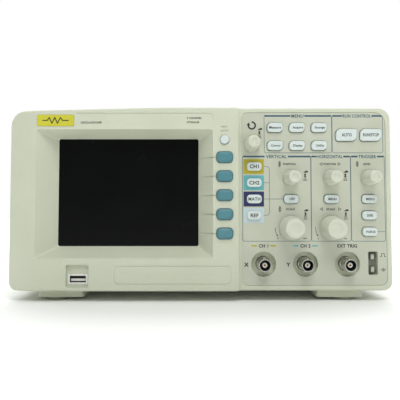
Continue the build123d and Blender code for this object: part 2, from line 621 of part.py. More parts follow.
# ---------------------------------------------------------------- front bezel
# The outline runs back to the seam, and a second profile seen from above gives the step between
# the display part and the control part, and the sloping cheek at the left.
with BuildPart() as front_bezel:
    extrude(housing_outline(DISPLAY_Y), amount=DISPLAY_Y - SEAM_Y)
    with BuildSketch(level(0)) as contour:
        with BuildLine():
            Polyline(
                (LEFT + CHEEK_WIDTH, DISPLAY_Y),
                (STEP_X, DISPLAY_Y),
                (STEP_X, RIM_Y),
                (RIGHT, RIM_Y),
                (RIGHT, SEAM_Y),
                (LEFT, SEAM_Y),
                (LEFT, DISPLAY_Y + CHEEK_DROP),
            )
            ThreePointArc(
                (LEFT, DISPLAY_Y + CHEEK_DROP),
                (LEFT + CHEEK_WIDTH / 2, DISPLAY_Y + CHEEK_DROP / 2 - CHEEK_BOW),
                (LEFT + CHEEK_WIDTH, DISPLAY_Y),
            )
        make_face()
        fillet(contour.vertices().sort_by_distance((STEP_X, DISPLAY_Y, 0))[0], STEP_ROUND)
    extrude(amount=HEIGHT, mode=Mode.INTERSECT)
    front_edges = [
        edge
        for edge in front_bezel.edges()
        if edge.center().Y < SEAM_Y - WALL
        and edge.bounding_box().max.Y < SEAM_Y - 1
        and (edge.center().Z > SCREEN_Z + SCREEN_HEIGHT / 2 or edge.center().Z < BODY_BOTTOM + CORNER_BOTTOM)
    ]
    outer_edges = [edge for edge in front_edges if edge.center().X < RIGHT - 0.01]
    fillet(outer_edges, FRONT_ROUND)

    # the hollow behind the whole front, and a deeper one behind the display face
    extrude(housing_outline(SEAM_Y, WALL), amount=SEAM_Y - CONTROL_INNER_Y, mode=Mode.SUBTRACT)
    with BuildSketch(facing(CONTROL_INNER_Y)):
        with Locations(((LEFT + CHEEK_WIDTH + STEP_X) / 2, (BODY_BOTTOM + BODY_TOP) / 2)):
            RectangleRounded(
                STEP_X - LEFT - CHEEK_WIDTH - 2 * WALL, BODY_TOP - BODY_BOTTOM - 18.0, CORNER_BOTTOM
            )
    extrude(amount=CONTROL_INNER_Y - DISPLAY_INNER_Y, mode=Mode.SUBTRACT)

    # the screen funnel: an outer skin, then its sloping inside
    with BuildSketch(facing(DISPLAY_Y + 1.0)):
        with Locations((MOUTH_X, MOUTH_Z)):
            RectangleRounded(MOUTH_WIDTH + 2 * FUNNEL_WALL, MOUTH_HEIGHT + 2 * FUNNEL_WALL, FUNNEL_CORNER)
    with BuildSketch(facing(WINDOW_Y)):
        with Locations((SCREEN_X, SCREEN_Z)):
            RectangleRounded(SCREEN_WIDTH + 2 * FUNNEL_WALL, SCREEN_HEIGHT + 2 * FUNNEL_WALL, FUNNEL_CORNER)
    loft(ruled=True)
    with BuildSketch(facing(DISPLAY_Y)):
        with Locations((MOUTH_X, MOUTH_Z)):
            RectangleRounded(MOUTH_WIDTH, MOUTH_HEIGHT, FUNNEL_CORNER)
    with BuildSketch(facing(WINDOW_Y)):
        with Locations((SCREEN_X, SCREEN_Z)):
            RectangleRounded(SCREEN_WIDTH, SCREEN_HEIGHT, SCREEN_CORNER)
    loft(ruled=True, mode=Mode.SUBTRACT)

    # bosses for the keypad board, the display module and the chassis
    for x, z in KEYPAD_BOSSES:
        with BuildSketch(facing(KEYPAD_BOARD_Y, x, z)):
            Circle(BOSS_D / 2)
        extrude(amount=KEYPAD_BOARD_Y - POCKET_Y - WALL / 2)
    for x, z in LCD_BOSSES:
        with BuildSketch(facing(LCD_FRONT_Y, x, z)):
            Circle(BOSS_D / 2)
        extrude(amount=LCD_FRONT_Y - DISPLAY_INNER_Y + WALL / 2)
    for x, z in FRAME_SCREWS:
        with BuildSketch(facing(MAIN_BOARD_Y, x, z)):
            Circle(BOSS_D / 2)
        extrude(amount=MAIN_BOARD_Y - POCKET_Y - WALL / 2)
    for x, z in KEYPAD_BOSSES:
        with BuildSketch(facing(KEYPAD_BOARD_Y, x, z)):
            Circle(PILOT_D / 2)
        extrude(amount=KEYPAD_PILOT_DEPTH, mode=Mode.SUBTRACT)
    for x, z in LCD_BOSSES:
        with BuildSketch(facing(LCD_FRONT_Y, x, z)):
            Circle(PILOT_D / 2)
        extrude(amount=LCD_PILOT_DEPTH, mode=Mode.SUBTRACT)
    for x, z in FRAME_SCREWS:
        with BuildSketch(facing(MAIN_BOARD_Y, x, z)):
            Circle(PILOT_D / 2)
        extrude(amount=FRAME_PILOT_DEPTH, mode=Mode.SUBTRACT)

    # thick places behind the jack recesses, the probe slot and the USB recess
    for x in BNC_PLACES:
        with BuildSketch(facing(BNC_FLOOR_Y + WALL, x, BNC_Z)):
            Circle(BNC_RECESS_D / 2 + WALL)
        extrude(amount=BNC_FLOOR_Y + WALL - POCKET_Y)
    with BuildSketch(facing(PROBE_FLOOR_Y + WALL, PROBE_X, PROBE_Z)):
        RectangleRounded(PROBE_WIDTH + 2 * WALL, PROBE_HEIGHT + 2 * WALL, PROBE_CORNER + WALL)
    extrude(amount=PROBE_FLOOR_Y + WALL - POCKET_Y)
    with BuildSketch(facing(DISPLAY_Y + USB_RECESS_DEPTH + WALL, USB_X, USB_RECESS_Z)):
        RectangleRounded(USB_RECESS_WIDTH + 2 * WALL, USB_RECESS_HEIGHT, USB_RECESS_CORNER)
    extrude(amount=USB_RECESS_DEPTH)

    # the foot plinths under the front, with a seat for each pad
    for side in (-1, 1):
        with BuildSketch(level(BODY_BOTTOM + WALL / 2, side * FOOT_X, PLINTH_Y)):
            RectangleRounded(PLINTH_WIDTH, PLINTH_DEPTH, PLINTH_CORNER)
        extrude(amount=-PLINTH_HEIGHT - WALL / 2)
        with BuildSketch(level(BODY_BOTTOM - PLINTH_HEIGHT, side * PAD_X, PLINTH_Y)):
            Circle(PAD_D / 2 + SEAT_GAP)
        extrude(amount=PAD_SEAT, mode=Mode.SUBTRACT)

    # the overlay's pocket and everything that opens through the control wall
    extrude(overlay_outline(POCKET_Y, SEAT_GAP), amount=POCKET_Y - RIM_Y, mode=Mode.SUBTRACT)
    for _, x, z, style_name in CONTROL_KEYS:
        extrude(
            key_outline(facing(POCKET_Y, x, z), KEY_STYLES[style_name], KEY_GAP),
            amount=-2 * WALL,
            mode=Mode.SUBTRACT,
        )
    for _, x, z, _ in KNOBS:
        with BuildSketch(facing(POCKET_Y, x, z)):
            Circle(ENCODER_BUSH_D / 2 + LOOSE_GAP)
        extrude(amount=-2 * WALL, mode=Mode.SUBTRACT)
    for x in BNC_PLACES:
        with BuildSketch(facing(BNC_FLOOR_Y, x, BNC_Z)):
            Circle(BNC_RECESS_D / 2)
        extrude(amount=BNC_FLOOR_Y - POCKET_Y, mode=Mode.SUBTRACT)
        with BuildSketch(facing(BNC_FLOOR_Y, x, BNC_Z)):
            Circle(BNC_SHOULDER_D / 2 + LOOSE_GAP)
        extrude(amount=-2 * WALL, mode=Mode.SUBTRACT)
    with BuildSketch(facing(PROBE_FLOOR_Y, PROBE_X, PROBE_Z)):
        RectangleRounded(PROBE_WIDTH, PROBE_HEIGHT, PROBE_CORNER)
    extrude(amount=PROBE_FLOOR_Y - POCKET_Y, mode=Mode.SUBTRACT)

    # the display face: soft keys, their engraved lines, the grooves, the badge seat and the USB recess
    for _, x, z, style_name in DISPLAY_KEYS:
        extrude(
            key_outline(facing(DISPLAY_Y, x, z), KEY_STYLES[style_name], KEY_GAP),
            amount=-2 * WALL,
            mode=Mode.SUBTRACT,
        )
    mouth_right = MOUTH_X + MOUTH_WIDTH / 2
    screen_right = SCREEN_X + SCREEN_WIDTH / 2
    for _, x, z, _ in SOFT_KEYS:
        with BuildSketch(level(z - KEY_LINE_WIDTH / 2)):
            with BuildLine():
                Polyline(
                    (screen_right - 1.0, WINDOW_Y - 0.6),
                    (mouth_right - 0.6, DISPLAY_Y - 1.0),
                    (mouth_right + KEY_LINE_RUN, DISPLAY_Y - 1.0),
                    (mouth_right + KEY_LINE_RUN, DISPLAY_Y + KEY_LINE_DEPTH),
                    (mouth_right + KEY_LINE_DEPTH, DISPLAY_Y + KEY_LINE_DEPTH),
                    (screen_right + KEY_LINE_DEPTH, WINDOW_Y - 0.6),
                    close=True,
                )
            make_face()
        extrude(amount=KEY_LINE_WIDTH, mode=Mode.SUBTRACT)
    title_left = STEP_X - TITLE_RIGHT_GAP - TITLE_LENGTH
    title_right = STEP_X - TITLE_RIGHT_GAP
    title_z = BODY_TOP - TITLE_TOP_GAP
    with BuildSketch(facing(DISPLAY_Y)):
        with BuildLine():
            FilletPolyline(
                (title_left, title_z),
                (title_right, title_z),
                (title_right, title_z - TITLE_DROP),
                radius=TITLE_ROUND,
            )
        trace(line_width=GROOVE_WIDTH)
    extrude(amount=-GROOVE_DEPTH, mode=Mode.SUBTRACT)
    with BuildSketch(facing(DISPLAY_Y, PANEL_GROOVE_X, PANEL_GROOVE_Z)):
        RectangleRounded(PANEL_GROOVE_WIDTH, PANEL_GROOVE_HEIGHT, PANEL_GROOVE_CORNER)
        RectangleRounded(
            PANEL_GROOVE_WIDTH - 2 * GROOVE_WIDTH,
            PANEL_GROOVE_HEIGHT - 2 * GROOVE_WIDTH,
            PANEL_GROOVE_CORNER - GROOVE_WIDTH,
            mode=Mode.SUBTRACT,
        )
    extrude(amount=-GROOVE_DEPTH, mode=Mode.SUBTRACT)
    with BuildSketch(facing(DISPLAY_Y, BADGE_X, BADGE_Z)):
        RectangleRounded(BADGE_WIDTH + 2 * SEAT_GAP, BADGE_HEIGHT + 2 * SEAT_GAP, BADGE_CORNER)
    extrude(amount=-BADGE_SINK, mode=Mode.SUBTRACT)
    with BuildSketch(facing(DISPLAY_Y, USB_X, USB_RECESS_Z)):
        RectangleRounded(USB_RECESS_WIDTH, USB_RECESS_HEIGHT, USB_RECESS_CORNER)
    extrude(amount=-USB_RECESS_DEPTH, mode=Mode.SUBTRACT)
    with BuildSketch(facing(DISPLAY_Y, USB_X, USB_Z)):
        Rectangle(
            USB_INNER_WIDTH + 2 * USB_METAL + 2 * SEAT_GAP, USB_INNER_HEIGHT + 2 * USB_METAL + 2 * SEAT_GAP
        )
    extrude(amount=-USB_RECESS_DEPTH - 2 * WALL, mode=Mode.SUBTRACT)
save("front_bezel", front_bezel.part)

# ---------------------------------------------------------------- printed overlay and badge
with BuildPart() as control_overlay:
    extrude(overlay_outline(POCKET_Y), amount=OVERLAY_THICK)
    for _, x, z, style_name in CONTROL_KEYS:
        extrude(
            key_outline(facing(POCKET_Y, x, z), KEY_STYLES[style_name], KEY_GAP + SEAT_GAP),
            amount=OVERLAY_THICK,
            mode=Mode.SUBTRACT,
        )
    for _, x, z, _ in KNOBS:
        with BuildSketch(facing(POCKET_Y, x, z)):
            Circle(ENCODER_BUSH_D / 2 + LOOSE_GAP)
        extrude(amount=OVERLAY_THICK, mode=Mode.SUBTRACT)
    for x in BNC_PLACES:
        with BuildSketch(facing(POCKET_Y, x, BNC_Z)):
            Circle(BNC_RECESS_D / 2)
        extrude(amount=OVERLAY_THICK, mode=Mode.SUBTRACT)
    with BuildSketch(facing(POCKET_Y, PROBE_X, PROBE_Z)):
        RectangleRounded(PROBE_WIDTH, PROBE_HEIGHT, PROBE_CORNER)
    extrude(amount=OVERLAY_THICK, mode=Mode.SUBTRACT)
save("control_overlay", control_overlay.part)

with BuildPart() as badge_plate:
    with BuildSketch(facing(DISPLAY_Y + BADGE_SINK, BADGE_X, BADGE_Z)):
        RectangleRounded(BADGE_WIDTH, BADGE_HEIGHT, BADGE_CORNER)
    extrude(amount=BADGE_THICK)
    fillet(badge_plate.faces().sort_by(Axis.Y)[0].edges(), 0.2)
save("badge_plate", badge_plate.part)

# ---------------------------------------------------------------- window and display module
with BuildPart() as display_window:
    with BuildSketch(facing(WINDOW_Y, SCREEN_X, SCREEN_Z)):
        RectangleRounded(SCREEN_WIDTH + 2 * WINDOW_LAP, SCREEN_HEIGHT + 2 * WINDOW_LAP, SCREEN_CORNER)
    extrude(amount=-WINDOW_THICK)
save("display_window", display_window.part)

with BuildPart() as lcd_frame:
    with BuildSketch(facing(LCD_FRONT_Y, LCD_X, SCREEN_Z)):
        RectangleRounded(LCD_WIDTH, LCD_HEIGHT, 1.0)
    extrude(amount=-LCD_THICK)
    for x, z in LCD_BOSSES:
        with BuildSketch(facing(LCD_FRONT_Y, x, z)):
            Rectangle(LCD_EAR, LCD_EAR + 1.0)
        extrude(amount=-CHASSIS_THICK)
        with BuildSketch(facing(LCD_FRONT_Y, x, z)):
            Circle(SCREW_HOLE_D / 2)
        extrude(amount=-CHASSIS_THICK, mode=Mode.SUBTRACT)
    with BuildSketch(facing(LCD_FRONT_Y, SCREEN_X, SCREEN_Z)):
        Rectangle(SCREEN_WIDTH + 2.0, SCREEN_HEIGHT + 2.0)
    extrude(amount=-LCD_GLASS_THICK, mode=Mode.SUBTRACT)
with BuildPart() as lcd_glass:
    with BuildSketch(facing(LCD_FRONT_Y, SCREEN_X, SCREEN_Z)):
        Rectangle(SCREEN_WIDTH + 2.0, SCREEN_HEIGHT + 2.0)
    extrude(amount=-LCD_GLASS_THICK)
save("lcd_panel", lcd_frame.part, lcd_glass.part)


# ---------------------------------------------------------------- keys
def make_key(label, x, z, style_name, face_y, inner_y):
    """A key: bevelled cap, flange behind the wall, and a stem that reaches its dome."""
    style = KEY_STYLES[style_name]
    inset, bevel_height = style["bevel"]
    stem_end_y = KEYPAD_BOARD_Y - MAT_THICK - DOME_HEIGHT - DOME_CLEAR - KEY_TRAVEL
    shoulder_y = face_y - style["proud"] + bevel_height
    flange_y = inner_y + KEY_FLANGE_GAP
    with BuildPart() as key:
        extrude(key_outline(facing(flange_y, x, z), style), amount=flange_y - shoulder_y)
        extrude(
            key_outline(facing(shoulder_y, x, z), style),
            amount=bevel_height,
            taper=math.degrees(math.atan2(inset, bevel_height)),
        )
        fillet(key.faces().sort_by(Axis.Y)[0].edges(), KEY_EDGE)
        extrude(key_outline(facing(flange_y, x, z), style, KEY_FLANGE_LAP), amount=-KEY_FLANGE_THICK)
        with BuildSketch(facing(flange_y, x, z)):
            Circle(DOME_D / 2 - LOOSE_GAP)
        extrude(amount=flange_y - stem_end_y)
    save(label, key.part)


for label, x, z, style_name in DISPLAY_KEYS:
    make_key(label, x, z, style_name, DISPLAY_Y, DISPLAY_INNER_Y)
for label, x, z, style_name in CONTROL_KEYS:
    make_key(label, x, z, style_name, OVERLAY_Y, CONTROL_INNER_Y)

# ---------------------------------------------------------------- keypad mat and board
with BuildPart() as keypad_mat:
    keypad_width = KEYPAD_RIGHT - KEYPAD_LEFT
    keypad_height = KEYPAD_TOP - KEYPAD_BOTTOM
    keypad_x = (KEYPAD_LEFT + KEYPAD_RIGHT) / 2
    keypad_z = (KEYPAD_TOP + KEYPAD_BOTTOM) / 2
    with BuildSketch(facing(KEYPAD_BOARD_Y, keypad_x, keypad_z)):
        RectangleRounded(keypad_width, keypad_height, 2.0)
    extrude(amount=MAT_THICK)
    for _, x, z, _ in DISPLAY_KEYS + CONTROL_KEYS:
        with BuildSketch(facing(KEYPAD_BOARD_Y - MAT_THICK, x, z)):
            Circle(DOME_D / 2)
        extrude(amount=DOME_HEIGHT, taper=20)
    for _, x, z, _ in KNOBS:
        with BuildSketch(facing(KEYPAD_BOARD_Y, x, z)):
            Rectangle(ENCODER_SIDE + 2 * LOOSE_GAP, ENCODER_SIDE + 2 * LOOSE_GAP)
        extrude(amount=MAT_THICK + DOME_HEIGHT, mode=Mode.SUBTRACT)
    for x, z in KEYPAD_BOSSES:
        with BuildSketch(facing(KEYPAD_BOARD_Y, x, z)):
            Circle(BOSS_D / 2 + LOOSE_GAP)
        extrude(amount=MAT_THICK, mode=Mode.SUBTRACT)
save("keypad_mat", keypad_mat.part)

with BuildPart() as keypad_board:
    with BuildSketch(facing(KEYPAD_BOARD_Y, keypad_x, keypad_z)):
        RectangleRounded(keypad_width, keypad_height, 2.0)
    extrude(amount=-KEYPAD_BOARD_THICK)
    for x, z in KEYPAD_BOSSES:
        with BuildSketch(facing(KEYPAD_BOARD_Y, x, z)):
            Circle(SCREW_HOLE_D / 2)
        extrude(amount=-KEYPAD_BOARD_THICK, mode=Mode.SUBTRACT)
save("keypad_board", keypad_board.part)

# ---------------------------------------------------------------- encoders and knobs


def make_encoder_housing(x, z):
    """The fixed body of one encoder, with its threaded bush and the wheel's cavity."""
    with BuildPart() as housing:
        with BuildSketch(facing(KEYPAD_BOARD_Y, x, z)):
            RectangleRounded(ENCODER_SIDE, ENCODER_SIDE, 0.8)
        extrude(amount=ENCODER_DEPTH)
        with BuildSketch(facing(ENCODER_FRONT_Y, x, z)):
            Circle(ENCODER_BUSH_D / 2)
        extrude(amount=ENCODER_FRONT_Y - BUSH_FRONT_Y)
        with BuildSketch(facing(CAVITY_BACK_Y, x, z)):
            Circle(ROTOR_D / 2 + ROTOR_GAP)
        extrude(amount=CAVITY_BACK_Y - CAVITY_FRONT_Y, mode=Mode.SUBTRACT)
        with BuildSketch(facing(CAVITY_FRONT_Y, x, z)):
            Circle(SHAFT_D / 2 + SHAFT_GAP)
        extrude(amount=CAVITY_FRONT_Y - BUSH_FRONT_Y, mode=Mode.SUBTRACT)
    return housing.part


def make_encoder_rotor(label, x, z):
    """The wheel that turns with the shaft and lets it slide."""
    with BuildPart() as rotor:
        with BuildSketch(facing(ROTOR_BACK_Y, x, z)):
            Circle(ROTOR_D / 2)
        extrude(amount=ROTOR_BACK_Y - ROTOR_FRONT_Y)
        extrude(
            d_profile(facing(ROTOR_BACK_Y, x, z), SHAFT_GAP),
            amount=ROTOR_BACK_Y - ROTOR_FRONT_Y,
            mode=Mode.SUBTRACT,
        )
    save(label, rotor.part)


def make_knob(label, x, z, size_name):
    """A turned, tapered knob with a dished tip, and its D-shaft as a second solid."""
    base_d, tip_d, dimple_d = KNOB_SIZES[size_name]
    length = KNOB_BASE_Y - KNOB_TIP_Y
    axis = Axis((x, KNOB_BASE_Y, z), (0, 1, 0))
    dish_radius = ((dimple_d / 2) ** 2 + KNOB_DIMPLE_DEPTH**2) / (2 * KNOB_DIMPLE_DEPTH)
    half_turn = math.asin(dimple_d / 2 / dish_radius) / 2
    dish_centre = -length + KNOB_DIMPLE_DEPTH - dish_radius
    with BuildPart() as knob:
        with BuildSketch(axial(x, KNOB_BASE_Y, z)) as side:
            with BuildLine():
                Polyline(
                    (0, -length + KNOB_DIMPLE_DEPTH),
                    (0, 0),
                    (base_d / 2, 0),
                    (base_d / 2, -KNOB_SKIRT),
                    (tip_d / 2, -length),
                    (dimple_d / 2, -length),
                )
                ThreePointArc(
                    (dimple_d / 2, -length),
                    (dish_radius * math.sin(half_turn), dish_centre + dish_radius * math.cos(half_turn)),
                    (0, -length + KNOB_DIMPLE_DEPTH),
                )
            make_face()
            fillet(side.vertices().sort_by_distance((tip_d / 2, -length, 0))[0], KNOB_TIP_ROUND)
        revolve(axis=axis)
        extrude(d_profile(facing(KNOB_BASE_Y, x, z)), amount=SHAFT_IN_KNOB, mode=Mode.SUBTRACT)
    with BuildPart() as shaft:
        extrude(d_profile(facing(SHAFT_BACK_Y, x, z)), amount=SHAFT_BACK_Y - KNOB_BASE_Y + SHAFT_IN_KNOB)
    save(label, knob.part, shaft.part)


save("encoder_housings", *[make_encoder_housing(x, z) for _, x, z, _ in KNOBS])
for name, x, z, size_name in KNOBS:
    make_encoder_rotor("encoder_rotor_" + name, x, z)
    make_knob("knob_" + name, x, z, size_name)


# ---------------------------------------------------------------- BNC jacks
def make_bnc(plane, floor_thick, block_length):
    """A bayonet jack on its recess floor: shell with lugs, insulator and contact."""
    with BuildPart() as shell:
        with BuildSketch(plane):
            Circle(BNC_BARREL_D / 2)
        extrude(amount=BNC_REACH)
        chamfer(shell.faces().sort_by(lambda face: plane.to_local_coords(face.center()).Z)[-1].edges(), 0.3)
        with BuildSketch(plane.offset(BNC_SHOULDER_PROUD)):
            Circle(BNC_SHOULDER_D / 2)
        extrude(amount=-BNC_SHOULDER_PROUD - floor_thick - LOOSE_GAP)
        with BuildSketch(plane.offset(-floor_thick - LOOSE_GAP)):
            RectangleRounded(BNC_BLOCK, BNC_BLOCK, 0.8)
        extrude(amount=-block_length)
        for side in (-1, 1):
            lug = Plane(
                origin=plane.from_local_coords((0, 0, BNC_REACH - BNC_LUG_SETBACK)),
                x_dir=plane.z_dir,
                z_dir=plane.y_dir * side,
            )
            with BuildSketch(lug.offset(BNC_BORE_D / 2 + 0.3)):
                Circle(BNC_LUG_D / 2)
            extrude(amount=(BNC_BARREL_D - BNC_BORE_D) / 2 - 0.3 + BNC_LUG_PROUD)
        with BuildSketch(plane.offset(BNC_REACH)):
            Circle(BNC_BORE_D / 2)
        extrude(amount=-BNC_BORE_DEPTH, mode=Mode.SUBTRACT)
    with BuildPart() as insulator:
        with BuildSketch(plane.offset(BNC_REACH - BNC_BORE_DEPTH)):
            Circle(BNC_INSULATOR_D / 2)
            Circle(BNC_CONTACT_D / 2, mode=Mode.SUBTRACT)
        extrude(amount=BNC_BORE_DEPTH - BNC_INSULATOR_SINK)
    with BuildPart() as contact:
        with BuildSketch(plane.offset(BNC_REACH - BNC_BORE_DEPTH)):
            Circle(BNC_CONTACT_D / 2)
        extrude(amount=BNC_BORE_DEPTH - BNC_INSULATOR_SINK - 0.3)
        with BuildSketch(plane.offset(BNC_REACH)):
            Circle(BNC_PIN_HOLE_D / 2)
        extrude(amount=-BNC_BORE_DEPTH + 1.0, mode=Mode.SUBTRACT)
    return [shell.part, insulator.part, contact.part]


bnc_solids = []
for x in BNC_PLACES:
    front_block = MAIN_BOARD_Y - BNC_FLOOR_Y - WALL - LOOSE_GAP
    bnc_solids += make_bnc(facing(BNC_FLOOR_Y, x, BNC_Z), WALL, front_block)
rear_block = BAY_FLOOR_Y - WALL - LOOSE_GAP - IO_BOARD_Y - BOARD_THICK
bnc_solids += make_bnc(rearward(BAY_FLOOR_Y, REAR_BNC_X, BAY_Z), WALL, rear_block)
save("bnc_jacks", *bnc_solids)


# ---------------------------------------------------------------- probe terminals
def make_probe_loop(z):
    """A bent strip that a probe's hook catches."""
    with BuildPart() as loop:
        with BuildSketch(Plane(origin=(PROBE_X, PROBE_FLOOR_Y, z), x_dir=(0, -1, 0), z_dir=(1, 0, 0))):
            with Locations((PROBE_LOOP_REACH / 2 - 1.5, 0)):
                RectangleRounded(PROBE_LOOP_REACH + 3.0, PROBE_LOOP_SPAN, 1.6)
                RectangleRounded(
                    PROBE_LOOP_REACH + 3.0 - 2 * PROBE_LOOP_THICK,
                    PROBE_LOOP_SPAN - 2 * PROBE_LOOP_THICK,
                    1.6 - PROBE_LOOP_THICK,
                    mode=Mode.SUBTRACT,
                )
            with Locations((-2.0, 0)):
                Rectangle(4.0, 2 * PROBE_LOOP_SPAN, mode=Mode.SUBTRACT)
        extrude(amount=PROBE_LOOP_WIDTH / 2, both=True)
    return loop.part


save(
    "probe_comp_terminals",
    make_probe_loop(PROBE_Z + PROBE_LOOP_PITCH / 2),
    make_probe_loop(PROBE_Z - PROBE_LOOP_PITCH / 2),
)

# ---------------------------------------------------------------- USB sockets
with BuildPart() as usb_host_shell:
    with BuildSketch(facing(USB_FLOOR_Y, USB_X, USB_Z)):
        Rectangle(USB_INNER_WIDTH + 2 * USB_METAL, USB_INNER_HEIGHT + 2 * USB_METAL)
    extrude(amount=-USB_LENGTH)
    with BuildSketch(facing(USB_FLOOR_Y, USB_X, USB_Z)):
        RectangleRounded(
            USB_INNER_WIDTH + 2 * USB_METAL + 2 * USB_FLARE,
            USB_INNER_HEIGHT + 2 * USB_METAL + 2 * USB_FLARE,
            0.6,
        )
    extrude(amount=USB_METAL)
    with BuildSketch(facing(USB_FLOOR_Y - USB_METAL, USB_X, USB_Z)):
        Rectangle(USB_INNER_WIDTH, USB_INNER_HEIGHT)
    extrude(amount=-USB_LENGTH + USB_METAL, mode=Mode.SUBTRACT)
with BuildPart() as usb_host_tongue:
    tongue_z = USB_Z - USB_INNER_HEIGHT / 2 + 0.9 + USB_TONGUE_THICK / 2
    with BuildSketch(facing(USB_FLOOR_Y + USB_LENGTH - 2 * USB_METAL, USB_X, tongue_z)):
        Rectangle(USB_TONGUE_WIDTH, USB_TONGUE_THICK)
    extrude(amount=USB_LENGTH - 2 * USB_METAL - 0.8)
with BuildPart() as usb_device_shell:
    with BuildSketch(rearward(BAY_FLOOR_Y + DEVICE_PROUD, REAR_USB_X, BAY_Z)):
        Rectangle(*DEVICE_OUTER)
    extrude(amount=-DEVICE_LENGTH)
    with BuildSketch(rearward(BAY_FLOOR_Y + DEVICE_PROUD, REAR_USB_X, BAY_Z)) as device_mouth:
        Rectangle(*DEVICE_INNER)
        chamfer(device_mouth.vertices().group_by(Axis.Y)[-1], 1.6)
    extrude(amount=-DEVICE_LENGTH + 1.5, mode=Mode.SUBTRACT)
with BuildPart() as usb_device_tongue:
    with BuildSketch(rearward(BAY_FLOOR_Y + DEVICE_PROUD + 1.5 - DEVICE_LENGTH, REAR_USB_X, BAY_Z)):
        Rectangle(*DEVICE_TONGUE)
    extrude(amount=DEVICE_LENGTH - 3.5)
save(
    "usb_sockets", usb_host_shell.part, usb_host_tongue.part, usb_device_shell.part, usb_device_tongue.part
)

# ---------------------------------------------------------------- rear cover
with BuildPart() as rear_cover:
    cover_front_y = SEAM_Y + SEAM_GAP
    extrude(housing_outline(REAR_WALL_Y), amount=REAR_WALL_Y - cover_front_y)
    rear_edges = rear_cover.faces().sort_by(Axis.Y)[-1].edges()
    fillet(rear_edges, REAR_ROUND)
    for side in (-1, 1):
        for height in (BODY_BOTTOM + BUMPER_LOW, BODY_TOP - BUMPER_HIGH):
            bumper_x = side * (RIGHT - BUMPER_INSET)
            with BuildSketch(rearward(REAR_WALL_Y - WALL, bumper_x, height)):
                RectangleRounded(*BUMPER, BUMPER_CORNER)
            extrude(amount=WALL + REAR_BUMPER)
    fillet(rear_cover.faces().group_by(Axis.Y)[-1].edges(), BUMPER_ROUND)
    extrude(housing_outline(cover_front_y, WALL), amount=cover_front_y - REAR_INNER_Y, mode=Mode.SUBTRACT)
    # the lip that enters the bezel
    extrude(housing_outline(cover_front_y - LIP_LENGTH, WALL + LIP_GAP), amount=-LIP_LENGTH - 4.0)
    extrude(
        housing_outline(cover_front_y - LIP_LENGTH, WALL + LIP_GAP + LIP_THICK),
        amount=-LIP_LENGTH - 4.0,
        mode=Mode.SUBTRACT,
    )
    # the tub that the handle lies in
    tub_mid_y = (TUB_FRONT_Y + TUB_REAR_Y) / 2
    tub_length = TUB_REAR_Y - TUB_FRONT_Y
    with BuildSketch(level(TUB_FLOOR_Z - WALL, 0, tub_mid_y)):
        RectangleRounded(TUB_WIDTH + 2 * WALL, tub_length + 2 * WALL, TUB_CORNER + WALL)
    extrude(amount=top_at(-TUB_WIDTH / 2) - TUB_FLOOR_Z + WALL / 2)
    with BuildSketch(level(TUB_FLOOR_Z, 0, tub_mid_y)):
        RectangleRounded(TUB_WIDTH, tub_length, TUB_CORNER)
    extrude(amount=TUB_DEPTH + HANDLE_PROUD, mode=Mode.SUBTRACT)
    with BuildSketch(Plane(origin=(0, HANDLE_PIVOT_Y, HANDLE_Z), x_dir=(0, 1, 0), z_dir=(1, 0, 0))):
        Circle(HANDLE_PIN_D / 2 + SHAFT_GAP)
    extrude(amount=TUB_WIDTH / 2 + WALL - 0.8, both=True, mode=Mode.SUBTRACT)
    # the power button's opening
    with BuildSketch(level(BODY_TOP + 1.0, POWER_X, POWER_Y)):
        RectangleRounded(POWER_WIDTH + 2 * KEY_GAP, POWER_HEIGHT + 2 * KEY_GAP, POWER_HEIGHT / 2)
    extrude(amount=-CROWN_DROP - 2 * WALL - 1.0, mode=Mode.SUBTRACT)
    # the connector bay
    with BuildSketch(rearward(BAY_FLOOR_Y - WALL, BAY_X, BAY_Z)):
        RectangleRounded(BAY_WIDTH + 2 * WALL, BAY_HEIGHT + 2 * WALL, BAY_CORNER + WALL)
    extrude(amount=BAY_DEPTH + WALL / 2)
    with BuildSketch(rearward(BAY_FLOOR_Y, BAY_X, BAY_Z)):
        RectangleRounded(BAY_WIDTH, BAY_HEIGHT, BAY_CORNER)
    extrude(amount=BAY_DEPTH + REAR_BUMPER, mode=Mode.SUBTRACT)
    with BuildSketch(rearward(BAY_FLOOR_Y, REAR_BNC_X, BAY_Z)):
        Circle(BNC_SHOULDER_D / 2 + LOOSE_GAP)
    extrude(amount=-2 * WALL, mode=Mode.SUBTRACT)
    with BuildSketch(rearward(BAY_FLOOR_Y, SERIAL_X, BAY_Z)):
        RectangleRounded(*SERIAL_CUT, 1.0)
    extrude(amount=-2 * WALL, mode=Mode.SUBTRACT)
    with BuildSketch(rearward(BAY_FLOOR_Y, REAR_USB_X, BAY_Z)):
        Rectangle(DEVICE_OUTER[0] + 2 * SEAT_GAP, DEVICE_OUTER[1] + 2 * SEAT_GAP)
    extrude(amount=-2 * WALL, mode=Mode.SUBTRACT)
    # the inlet's cut-out and the fan's grille
    with BuildSketch(rearward(REAR_INNER_Y - 1.0, INLET_X, INLET_Z)):
        Rectangle(INLET_WIDTH + 2 * SEAT_GAP, INLET_HEIGHT + 2 * SEAT_GAP)
    extrude(amount=WALL + REAR_BUMPER, mode=Mode.SUBTRACT)
    grille_radius = FAN_BORE / 2 - 1.0
    grille_rows = int(grille_radius / GRILLE_PITCH)
    with BuildSketch(rearward(REAR_INNER_Y - 1.0, FAN_X, FAN_Z)):
        for row in range(-grille_rows, grille_rows + 1):
            height = row * GRILLE_PITCH
            chord = 2 * math.sqrt(grille_radius**2 - height**2)
            with Locations((0, height)):
                SlotOverall(max(chord, 3 * GRILLE_SLOT), GRILLE_SLOT)
        Circle(FAN_HUB_D / 2 - 4.0, mode=Mode.SUBTRACT)
        Rectangle(2.4, FAN_BORE, mode=Mode.SUBTRACT)
    extrude(amount=WALL + 2.0, mode=Mode.SUBTRACT)
